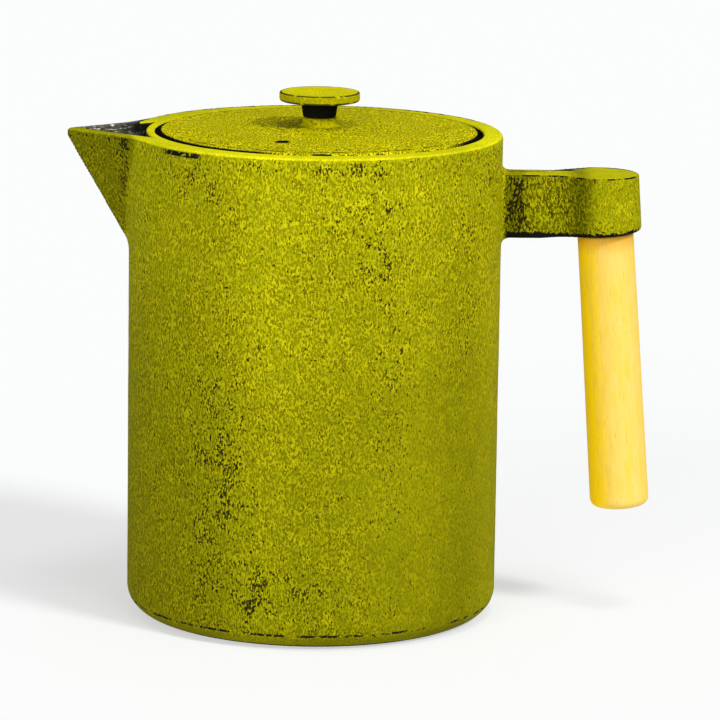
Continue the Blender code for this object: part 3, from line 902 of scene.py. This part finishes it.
def make_strainer_wall():
    low, high = WALL_LOW[2], WALL_HIGH[2]
    radius = WALL_HIGH[1]
    flat, faces, columns, top_row = perforated_rows(radius, low + 2.5, high - 6.8)
    for edge_row, z in ((0, low), (top_row, high)):
        first = len(flat)
        pitch = 2 * math.pi * radius / columns
        flat += [(u * pitch, z) for u in range(columns)]
        for u in range(columns):
            after = (u + 1) % columns
            quad = (edge_row * columns + u, edge_row * columns + after, first + after, first + u)
            faces.append(quad if edge_row else quad[::-1])
    flat = np.array(flat)
    angles = flat[:, 0] / radius
    points = np.stack([radius * np.cos(angles), radius * np.sin(angles), flat[:, 1]], -1)
    wall = new_object("strainer_wall", mesh_from("strainer_wall", points, np.array(faces)))
    return on_core_axis(give_sheet(tidy_mesh(wall), brushed_steel("steel_wall", 0.24, 12)))


def give_sheet(obj, material):
    """Give a surface its sheet thickness inward."""
    sheet = obj.modifiers.new("sheet", "SOLIDIFY")
    sheet.thickness = SHEET * MM
    sheet.offset = -1
    apply_modifiers(obj)
    obj.data.materials.clear()
    obj.data.materials.append(material)
    return obj


def perforated_disc(radius, steps, z):
    """Triangles of a disc with a hexagonal pattern of round holes."""
    pitch = 3.5
    outline = [Vector((radius * math.cos(a), radius * math.sin(a)))
               for a in np.arange(steps) * 2 * math.pi / steps]
    points = list(outline)
    loops = [list(range(steps))]
    reach = int(radius / pitch) + 2
    for row in range(-reach, reach + 1):
        for column in range(-reach, reach + 1):
            cx = (column + 0.5 * (row % 2)) * pitch
            cy = row * pitch * math.sqrt(3) / 2
            if math.hypot(cx, cy) > radius - 3.2:
                continue
            first = len(points)
            for k in range(8):
                angle = math.pi * (k + 0.5) / 4
                points.append(Vector((cx + HOLE_RADIUS * math.cos(angle),
                                      cy + HOLE_RADIUS * math.sin(angle))))
            loops.append(list(range(first, first + 8)))
    found = delaunay_2d_cdt(points, [], loops, 2, 1e-5)
    flat = np.array([tuple(p) for p in found[0]])
    return np.column_stack([flat, np.full(len(flat), z)]), np.array([list(f) for f in found[2]])


def make_strainer_cup():
    steps = 144
    low, high = CUP_LOW[2], CUP_HIGH[2]
    outside = CUP_HIGH[1]
    floor_radius = outside - 1.1
    points, faces = perforated_disc(floor_radius, steps, low)
    cup = new_object("strainer_cup", mesh_from("strainer_cup", points, faces))
    side = rounded([(floor_radius, low, 0), (outside, low, 0.9), (outside, high, 0)], 5)
    wall = turned("strainer_cup_side", side, steps)
    bm = bmesh.new()
    bm.from_mesh(cup.data)
    bm.from_mesh(wall.data)
    bmesh.ops.remove_doubles(bm, verts=bm.verts, dist=0.01 * MM)
    for face in bm.faces:
        outward = face.calc_center_median()
        outward.z = -1 * MM if outward.xy.length < floor_radius * MM else 0
        if face.normal.dot(outward) < 0:
            face.normal_flip()
    bm.to_mesh(cup.data)
    bm.free()
    bpy.data.objects.remove(wall, do_unlink=True)
    give_sheet(cup, brushed_steel("steel_cup", 0.24, 12))
    smooth_between_corners(cup)
    return on_core_axis(cup)


# ---- grip --------------------------------------------------------------------

def make_grip():
    top = -PART_GAP
    bore = INSERT_RADIUS + PART_GAP
    bore_end = top - INSERT_LENGTH - 3 * PART_GAP
    corners = [(0, -GRIP_LENGTH, 0), (GRIP_BOTTOM_RADIUS, -GRIP_LENGTH, GRIP_END_FILLET),
               (GRIP_TOP_RADIUS, top, 0.5), (bore, top, 0.3), (bore, bore_end, 0.3), (0, bore_end, 0)]
    profile = rounded(corners, 8)
    long_run = int(np.argmax(np.abs(np.diff(profile[:, 1])) * (profile[1:, 0] > bore + 1)))
    start, end = profile[long_run], profile[long_run + 1]
    between = [start + (end - start) * t for t in np.linspace(0, 1, 60)[1:-1]]
    profile = np.insert(profile, long_run + 1, between, axis=0)
    grip = turned("grip_turned", profile, 96)
    points = points_of(grip)
    radius = np.hypot(points[:, 0], points[:, 1])
    x, y, z = points.T
    dent = 0.10 * lattice_noise(x, y, 0.25 * z, 7) + 0.03 * lattice_noise(x, y, 0.1 * z, 2.2)
    dent_side(grip, points, radius, radius > bore + 1, dent)
    on_grip_axis(grip)
    grip.data.materials.append(pale_wood("wood_grip"))
    return grip


# ---- materials ---------------------------------------------------------------

BODY_PAINT = (0.248, 0.245, 0.0018)
# The lid and knob use a lighter copy of the body's paint: painted light on faces that look up
LIT_LID_PAINT = (0.43, 0.408, 0.0018)
BLACK = (0.012, 0.011, 0.003)
ENAMEL = (0.008, 0.008, 0.006)
NOISE_LOW, NOISE_HIGH = 0.3, 0.7


class Value:
    """Output of a node, which can be added, subtracted and multiplied like a number."""

    __array_ufunc__ = None  # a numpy number to its left leaves the sum to this class

    def __init__(self, tree, socket):
        self.tree = tree
        self.socket = socket

    def __add__(self, other):
        return self.tree.math("ADD", self, other)

    def __sub__(self, other):
        return self.tree.math("SUBTRACT", self, other)

    def __rsub__(self, other):
        return self.tree.math("SUBTRACT", other, self)

    def __mul__(self, other):
        return self.tree.math("MULTIPLY", self, other)

    def __abs__(self):
        return self.tree.math("ABSOLUTE", self)


class Tree:
    """Node tree of one material, with a Principled shader."""

    def __init__(self, name):
        self.material = bpy.data.materials.new(name)
        self.material.use_nodes = True
        self.nodes = self.material.node_tree.nodes
        self.links = self.material.node_tree.links
        self.shader = self.nodes["Principled BSDF"]

    def feed(self, socket, value):
        if isinstance(value, Value):
            self.links.new(value.socket, socket)
        elif hasattr(value, "__len__") and len(value) == 3 and len(socket.default_value) == 4:
            socket.default_value = (*value, 1)
        else:
            socket.default_value = value

    def add(self, kind, inputs, output=0, **settings):
        """One output of a new node, whose inputs take numbers or other outputs."""
        node = self.nodes.new("ShaderNode" + kind)
        for key, value in settings.items():
            setattr(node, key, value)
        for key, value in inputs.items():
            self.feed(node.inputs[key], value)
        return Value(self, node.outputs[output])

    def place(self, stretch=(1, 1, 1)):
        """Position on the piece in millimetres, squeezed along each axis."""
        where = self.add("TexCoord", {}, "Object")
        scale = tuple(s / MM for s in stretch)
        return self.add("VectorMath", {0: where, 1: scale}, operation="MULTIPLY")

    def split(self, where):
        """X, Y and Z of a position."""
        node = self.nodes.new("ShaderNodeSeparateXYZ")
        self.feed(node.inputs[0], where)
        return [Value(self, output) for output in node.outputs]

    def noise(self, where, scale, detail=2, roughness=0.5, distortion=0):
        inputs = {"Vector": where, "Scale": scale, "Detail": detail, "Roughness": roughness,
                  "Distortion": distortion}
        return self.add("TexNoise", inputs, "Fac")

    def math(self, operation, a, b=0.0):
        return self.add("Math", {0: a, 1: b}, operation=operation)

    def ramp(self, value, start, end, low=0.0, high=1.0):
        """Smooth step from low to high as the value goes from start to end."""
        inputs = {"Value": value, "From Min": start, "From Max": end, "To Min": low, "To Max": high}
        return self.add("MapRange", inputs, "Result", interpolation_type="SMOOTHSTEP")

    def spread(self, noise, low, high):
        """Smooth step from low to high over the range that a noise mostly keeps to."""
        return self.ramp(noise, NOISE_LOW, NOISE_HIGH, low, high)

    def band(self, value, centre, outer, inner):
        """1 within the inner distance of the centre, 0 beyond the outer distance."""
        return self.ramp(abs(value - centre), outer, inner)

    def broken(self, size, start, end):
        """Patches of 1 with gaps between them."""
        return self.ramp(self.noise(self.place(), 1 / size), start, end)

    def mix(self, factor, a, b):
        node = self.nodes.new("ShaderNodeMix")
        node.data_type = "RGBA"
        self.feed(node.inputs[0], factor)
        self.feed(node.inputs[6], a)
        self.feed(node.inputs[7], b)
        return Value(self, node.outputs[2])

    def scaled(self, colour, amount):
        """Colour times a grey amount."""
        return self.add("VectorMath", {0: colour, 3: amount}, operation="SCALE")

    def hypot(self, a, b):
        return self.math("SQRT", a * a + b * b)

    def larger(self, a, b):
        return self.math("MAXIMUM", a, b)

    def attribute(self, name):
        return self.add("Attribute", {}, "Fac", attribute_name=name)

    def bump(self, height, distance_mm, strength=1.0):
        inputs = {"Height": height, "Distance": distance_mm * MM, "Strength": strength}
        return self.add("Bump", inputs, "Normal")

    def finish(self, **inputs):
        for key, value in inputs.items():
            self.feed(self.shader.inputs[key.replace("_", " ")], value)
        return self.material


def iron_grain(tree):
    """Height of the cast grain, and the pits in it."""
    even = tree.place()
    grain = tree.noise(tree.place((1, 1, 0.5)), 1.95, 1)
    fine = tree.noise(even, 3.0, 1)
    pitted = tree.noise(tree.place((1, 1, 0.6)), 1.7, 1)
    mottle = tree.noise(even, 0.24, 2, 0.55)
    cloud = tree.noise(even, 0.045)
    texture = grain * 0.68 + fine * 0.32
    density = tree.attribute("patina") * tree.spread(mottle, 0.3, 1.6) + tree.spread(cloud, -0.05, 0.07)
    threshold = density * 0.17 + 0.305
    depth = pitted * 0.72 + grain * 0.28
    pits = tree.ramp(depth - threshold, 0.022, -0.016)
    return texture, grain, mottle, cloud, pits


def iron_light(tree, texture, grain, mottle, cloud, painted_light_factor):
    """Brightness of the paint: worn bright on the grain's tops, dark in its crevices, times the tone
    attribute, which holds painted light and shade, and the painted light on top faces and front.
    """
    crevice = tree.ramp(abs(grain - 0.46), 0.035, 0.0, 0, 0.42)
    swing = tree.ramp(texture, 0.37, 0.63, -0.40, 0.46) - crevice
    strength = tree.attribute("relief") * tree.spread(mottle, 0.7, 1.35)
    light = swing * strength + 1.04
    broad = tree.spread(mottle, 0.93, 1.07) * tree.spread(cloud, 0.95, 1.05)
    return light * broad * tree.attribute("tone") * painted_light_factor


def iron_colour(tree, paint, lines, painted_light_factor):
    texture, grain, mottle, cloud, pits = iron_grain(tree)
    light = iron_light(tree, texture, grain, mottle, cloud, painted_light_factor)
    warmer = (paint[0] * 1.04, paint[1] * 0.98, paint[2])
    warm = tree.mix(tree.ramp(mottle, 0.35, 0.65), paint, warmer)
    worn = tree.mix(pits * 0.93, tree.scaled(warm, light), BLACK)
    edge = tree.noise(tree.place(), 0.9)
    lined = tree.ramp(tree.attribute("enamel") + (edge - 0.5) * 0.24, 0.42, 0.56)
    return tree.mix(tree.larger(lined, lines), worn, ENAMEL), texture, pits


def iron_paint(name, paint, edges):
    """Matt olive paint on sand-cast iron, with black left in its grain, black lines along its edges (some of
    them painted shade) and painted highlights on its top faces.
    """
    tree = Tree(name)
    lines, painted_light_factor = edges(tree, *tree.split(tree.place()))
    colour, texture, pits = iron_colour(tree, paint, lines, painted_light_factor)
    height = (texture - pits * 0.3) * tree.attribute("relief")
    return tree.finish(
        Base_Color=colour,
        Roughness=tree.spread(texture, 0.85, 0.7),
        Normal=tree.bump(height, 0.45, 0.9),
        Specular_IOR_Level=0.01,
    )


def pot_edges(tree, x, y, z):
    """Black lines along the casting's edges, wider at the back, with a painted contact shadow round the foot;
    and painted light: top faces brighter, the whole casting brighter at the front and dimmer at the back, the
    spout's tip darker.
    """
    back = tree.ramp(y, -5, 50, 0.25, 2.4) * tree.spread(tree.noise(tree.place(), 0.5), 0.55, 1.35)
    edge = tree.hypot(x, y) + back - BODY_RADIUS
    ring = tree.ramp(edge, -0.1, 0.2) * tree.ramp(z, BODY_HEIGHT - 0.9, BODY_HEIGHT - 0.5)
    ring = ring * tree.ramp(x * 0.75 + y * 0.66, -44, -38)
    smear = tree.band(z, BODY_HEIGHT - 1.6, 0.9, 0.6) * tree.ramp(abs(x + 40.5), 7, 4)
    smear = smear * tree.ramp(y, 0, -5) * tree.broken(1.6, 0.36, 0.44)
    foot = tree.band(z, 4.7, 0.55, 0.25) * tree.broken(4, 0.44, 0.5) * tree.broken(1.2, 0.36, 0.44)
    # painted shadow: a black line where the base meets the floor
    contact = tree.ramp(z, 1.3, 0.9)
    keel = tree.ramp(abs(y), 0.85, 0.35) * tree.ramp(z, 148, 146) * tree.broken(5, 0.34, 0.46)
    keel = keel * tree.ramp(x, -BODY_RADIUS - 0.6, -BODY_RADIUS - 3.5)
    lines = tree.larger(tree.larger(ring, smear), tree.larger(foot, contact))
    lines = tree.larger(tree.larger(lines, keel), arm_lines(tree, x, y, z))
    # painted light: the rim's top faces up to 1.85 times brighter, everything brighter at the front and
    # dimmer at the back, and the spout's tip darker
    top = tree.ramp(z, BODY_HEIGHT - 0.75, BODY_HEIGHT - 0.5, 1, 1.85)
    off_body = tree.ramp(tree.hypot(x, y), BODY_RADIUS - 0.4, BODY_RADIUS + 1.2)
    lip = tree.ramp(x, -50, -62) * off_body * -0.22 + 1
    top = top * lip * tree.ramp(y, -10, 45, 1.16, 0.8)
    # painted highlight on the arm's top face, brighter on the bar than on the boss
    arm_top_light = tree.ramp(z, ARM_TOP - 0.35, ARM_TOP - 0.15) * tree.ramp(x, ARM_SHOWS_FROM, 59.5)
    arm_top_light = arm_top_light * tree.ramp(x, BOSS_FROM, BOSS_FULL, 1.4, 0.82)
    return lines, tree.larger(top, arm_top_light + 1)


def arm_lines(tree, x, y, z):
    """Black lines along the arm's lower and upper edges, and a streak on its top; the lower line is partly
    black patina and partly painted shade on the underside's edge.
    """
    lean = math.tan(LEAN)
    from_axis = x + (z - BOSS_UNDERSIDE) * lean - BOSS_AXIS_X
    tilted = z - BOSS_UNDERSIDE - from_axis * lean
    height = tree.math("MINIMUM", tilted, z - ARM_UNDERSIDE)
    ragged = tree.spread(tree.noise(tree.place(), 0.9), -0.5, 0.5)
    # partly patina, partly painted shade: black along the arm's lower edge, which turns away from the light
    low_edge = tree.ramp(x, 64, 84, 2.3, 1.2) + ragged
    low = tree.ramp(height - low_edge, 0.15, -0.15)
    bar_edge = tree.ramp(y, ARM_HALF_WIDTH - 2.5, ARM_HALF_WIDTH - 2.1) * tree.ramp(x, 82, 79)
    streak = tree.band(y, 0.6, 0.6, 0.3) * tree.ramp(x, 76, 72) * tree.broken(3, 0.4, 0.46)
    boss_edge = tree.ramp(y, 0, 9, BOSS_RADIUS - 0.5, BOSS_RADIUS - 2.2) - tree.hypot(from_axis, y)
    boss_edge = tree.ramp(boss_edge, 0.2, -0.2) * tree.ramp(x, 79, 82) * tree.ramp(y, 0, 4)
    front = tree.ramp(z, ARM_TOP - 0.8, ARM_TOP - 0.6) * tree.ramp(z, ARM_TOP - 0.15, ARM_TOP - 0.3)
    front = front * tree.ramp(y, 0, -2) * tree.broken(3, 0.46, 0.52)
    top = tree.larger(tree.larger(bar_edge, streak), boss_edge)
    top = top * tree.ramp(z, ARM_TOP - 0.5, ARM_TOP - 0.25)
    on_arm = tree.ramp(x, BODY_RADIUS + 0.6, BODY_RADIUS + 1.6)
    return tree.larger(tree.larger(low, front), top) * on_arm


def lid_edges(tree, x, y, z):
    """Black line round the lid's edge, wider at the back and broken at the front; on the left it is painted
    shade that widens the dark gap between the lid and the rim.
    """
    radius = tree.hypot(x - CORE_X, y)
    inset = tree.ramp(y, 5, 45, 0.3, 1.7)
    line = tree.ramp(radius - (LID_RADIUS - inset), -0.15, 0.1)
    # painted shade on the left: the line stands in for the shaded gap between lid and rim
    shown = tree.larger(tree.ramp(x, -12, -18), tree.band(x, 1.8, 3.2, 2.4))
    shown = tree.larger(shown, tree.ramp(y, -34, -20))
    ring = tree.band(radius, LID_RADIUS - 2.0, 0.65, 0.3)
    ring = ring * tree.broken(2.5, 0.46, 0.53) * tree.ramp(y, -20, -34) * 0.85
    return tree.larger(line * shown, ring), 1


def knob_edges(tree, x, y, z):
    """Black lines round the knob's top edge and under its disc."""
    top = KNOB_HIGH[2]
    radius = tree.hypot(x - CORE_X, y)
    inset = tree.ramp(y, -3, KNOB_RADIUS, 0.7, 1.2)
    inner = tree.ramp(radius - (KNOB_RADIUS - inset), -0.1, 0.12)
    upper = tree.ramp(z, top - 0.42, top - 0.3) * inner * tree.broken(4, 0.3, 0.4) * 0.9
    under = tree.ramp(z, top - KNOB_DISC + 0.8, top - KNOB_DISC + 0.55)
    under = under * tree.broken(3, 0.34, 0.42) * 0.85
    return tree.larger(upper, under), 1


def black_enamel(name):
    """Glossy black enamel with a slightly rippled surface and pale specks; inside the spout, paler streaks
    and white flecks are painted light and painted glints.
    """
    tree = Tree(name)
    even = tree.place()
    ripple = tree.noise(even, 0.5, 3, 0.55)
    specks = tree.ramp(tree.noise(even, 1.9), 0.6, 0.68)
    glaze = tree.attribute("glaze")
    streaks = tree.noise(tree.place((0.35, 0.35, 1.2)), 1.6)
    # painted light: paler grey streaks where the spout's far wall is lit
    painted_lit_haze = glaze * tree.ramp(streaks, 0.4, 0.6, 0.35, 1)
    dull = tree.mix(painted_lit_haze, ENAMEL, (0.14, 0.13, 0.085))
    spotted = tree.mix(specks * 0.3, dull, (0.16, 0.16, 0.155))
    # painted glints: white flecks inside the spout
    painted_glints = glaze * tree.ramp(streaks, 0.6, 0.66)
    return tree.finish(
        Base_Color=tree.mix(painted_glints, spotted, (0.75, 0.75, 0.73)),
        Roughness=tree.ramp(ripple, 0.35, 0.65, 0.16, 0.32),
        Normal=tree.bump(ripple, 0.6, 0.7),
        Specular_IOR_Level=0.5,
    )


def pale_wood(name):
    """Pale oiled wood with fine upright grain; painted shade makes it deep orange on the side towards the pot
    and darker under the boss, and painted light makes it paler on the other side.
    """
    tree = Tree(name)
    top = (BOSS_AXIS_X + GRIP_OFFSET, 0, BOSS_UNDERSIDE)
    here = tree.add("VectorMath", {0: tree.place(), 1: top}, operation="SUBTRACT")
    own = tree.add("VectorRotate", {"Vector": here, "Angle": LEAN}, rotation_type="Y_AXIS")

    def squeezed(stretch):
        return tree.add("VectorMath", {0: own, 1: (1, 1, stretch)}, operation="MULTIPLY")

    fibres = tree.noise(squeezed(0.05), 2.2, 3, 0.6)
    bands = tree.noise(squeezed(0.03), 0.45, 2, 0.5, 0.3)
    blotch = tree.noise(squeezed(0.35), 0.5, 3, 0.6, 0.3)
    strokes = tree.ramp(tree.noise(squeezed(0.13), 1.9, 1), 0.66, 0.74)
    x, y, z = tree.split(own)
    wander = tree.spread(blotch, -1.3, 1.3) + tree.spread(bands, -1.1, 1.1)
    # painted light and shade across the grip: deep orange on the shaded side towards the pot, paler with more
    # blue on the lit side
    shade_side = tree.ramp(x - y * 0.2 + wander, 0.8, -6.5)
    blotchy = blotch * 0.6 + bands * 0.4
    lit_side = tree.mix(tree.ramp(blotchy, 0.36, 0.66), (0.77, 0.565, 0.15), (0.80, 0.55, 0.075))
    warm = tree.mix(shade_side, lit_side, (1.0, 0.66, 0.002))
    lined = tree.mix(tree.ramp(fibres, 0.4, 0.72, 0, 0.34), warm, (0.84, 0.46, 0.02))
    # painted shadow: darker brown at the top, under the boss
    shaded = tree.mix(tree.ramp(z, -6.5, -0.8, 0, 0.65), lined, (0.70, 0.31, 0.012))
    return tree.finish(
        Base_Color=tree.mix(strokes * 0.4, shaded, (0.6, 0.3, 0.015)),
        Roughness=tree.spread(fibres, 0.6, 0.72),
        Normal=tree.bump(fibres - strokes * 0.5, 0.05, 0.5),
        Specular_IOR_Level=0.08,
    )


def brushed_steel(name, roughness, stretch):
    """Stainless sheet brushed round the tube, with faint smudges."""
    tree = Tree(name)
    lines = tree.noise(tree.place((0.25, 0.25, stretch)), 0.6, 3, 0.6)
    smudge = tree.noise(tree.place(), 0.09, 3, 0.55)
    smudged = tree.spread(smudge, roughness - 0.04, roughness + 0.06)
    return tree.finish(
        Base_Color=tree.mix(tree.ramp(smudge, 0.35, 0.7), (0.66, 0.66, 0.65), (0.55, 0.55, 0.545)),
        Metallic=1.0,
        Roughness=tree.spread(lines, 0, 0.12) + smudged,
        Normal=tree.bump(lines, 0.012, 0.6),
    )


def small_part(name, patches, colours, roughness, grain, bump_mm, metallic):
    """Plain part with patches of a second colour. patches and grain hold a noise's figures."""
    tree = Tree(name)
    patch_scale, patch_end = patches
    stretch, grain_scale = grain
    patch = tree.noise(tree.place(), patch_scale, 3, 0.6)
    fine = tree.noise(tree.place((1, 1, stretch)), grain_scale)
    return tree.finish(
        Base_Color=tree.mix(tree.ramp(patch, 0.4, patch_end), *colours),
        Metallic=metallic,
        Roughness=tree.spread(patch, *roughness),
        Normal=tree.bump(fine, bump_mm, 0.5),
    )


def machined_steel(name, roughness):
    """Plated screw steel with small dull patches."""
    colours = ((0.58, 0.58, 0.57), (0.42, 0.41, 0.39))
    return small_part(name, (0.7, 0.7), colours, (roughness - 0.06, roughness + 0.14), (6, 1.5), 0.02, 1.0)


def brass(name):
    """Brass with slightly tarnished grooves."""
    colours = ((0.72, 0.50, 0.19), (0.47, 0.31, 0.12))
    return small_part(name, (0.6, 0.7), colours, (0.24, 0.44), (5, 1.6), 0.02, 1.0)


def rubber(name):
    """Black rubber with a dusty bloom."""
    colours = ((0.018, 0.018, 0.019), (0.06, 0.058, 0.055))
    return small_part(name, (0.5, 0.75), colours, (0.68, 0.86), (1, 4), 0.03, 0.0)


# ---- floor, light and camera -------------------------------------------------

FLOOR_SIZE = 16
FLOOR_TONE = (0.38, 0.39, 0.39)
FLOOR_GLOW = 0.53


def make_floor():
    bm = bmesh.new()
    bmesh.ops.create_grid(bm, x_segments=8, y_segments=8, size=FLOOR_SIZE / 2)
    mesh = bpy.data.meshes.new("studio_floor")
    bm.to_mesh(mesh)
    bm.free()
    floor = new_object("studio_floor", mesh)
    tree = Tree("floor_white")
    tree.finish(Base_Color=FLOOR_TONE, Roughness=0.9, Specular_IOR_Level=0.0,
                Emission_Color=(1, 1, 1), Emission_Strength=FLOOR_GLOW)
    tree.material.cycles.emission_sampling = "NONE"
    mesh.materials.append(tree.material)
    return floor


def add_sun(name, azimuth, elevation, strength, spread):
    """Soft far light. Azimuth is in degrees from the front, positive towards the handle."""
    data = bpy.data.lights.new(name, "SUN")
    data.energy = strength
    data.angle = math.radians(spread)
    lamp = new_object(name, data)
    a = math.radians(azimuth)
    e = math.radians(elevation)
    towards = Vector((math.sin(a) * math.cos(e), -math.cos(a) * math.cos(e), math.sin(e)))
    lamp.rotation_euler = towards.to_track_quat("Z", "Y").to_euler()
    lamp.location = towards * 3
    return lamp


def make_light():
    world = bpy.data.worlds.new("studio")
    world.use_nodes = True
    background = world.node_tree.nodes["Background"]
    background.inputs["Color"].default_value = (1, 1, 1, 1)
    background.inputs["Strength"].default_value = 0.35
    bpy.context.scene.world = world
    add_sun("key", 50, 41, 2.25, 12)
    add_sun("fill", -26, 16, 1.35, 40)
    add_sun("overhead", 30, 73, 0.7, 14)


def make_camera():
    forward = Vector((math.sin(CAMERA_YAW) * math.cos(CAMERA_PITCH),
                      math.cos(CAMERA_YAW) * math.cos(CAMERA_PITCH),
                      -math.sin(CAMERA_PITCH)))
    right = Vector((math.cos(CAMERA_YAW), -math.sin(CAMERA_YAW), 0))
    up = right.cross(forward)
    rolled_right = right * math.cos(CAMERA_ROLL) + up * math.sin(CAMERA_ROLL)
    rolled_up = up * math.cos(CAMERA_ROLL) - right * math.sin(CAMERA_ROLL)
    data = bpy.data.cameras.new("camera")
    data.sensor_width = SENSOR
    data.lens = CAMERA_LENS
    data.clip_end = 100
    camera = new_object("camera", data)
    turn = Matrix((rolled_right, rolled_up, -forward)).transposed().to_4x4()
    camera.matrix_world = Matrix.Translation(CAMERA_AT) @ turn
    bpy.context.scene.camera = camera


# ---- assembly ----------------------------------------------------------------

PIECES = (
    (make_pot, "pot", "pot_body", "body_iron"),
    (make_grip, "pot", "handle_grip", "grip_wood"),
    (make_insert, "pot", "grip_insert", "insert_brass"),
    (make_stud, "pot", "grip_stud", "stud_steel"),
    (make_rim, "basket", "basket_rim", "strainer_steel"),
    (make_strainer_wall, "basket", "basket_wall", "strainer_steel"),
    (make_strainer_cup, "basket", "basket_base", "strainer_steel"),
    (make_lid, "lid", "lid", "lid_iron"),
    (make_knob, "lid", "lid_knob", "knob_iron"),
    (make_screw, "lid", "knob_screw", "screw_steel"),
    (make_washer, "lid", "knob_washer", "washer_rubber"),
)


for make, body, node, slot in PIECES:
    piece = make()
    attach(piece, body)
    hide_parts(node)

make_floor()
make_light()
make_camera()
bpy.context.scene.view_settings.view_transform = "Standard"
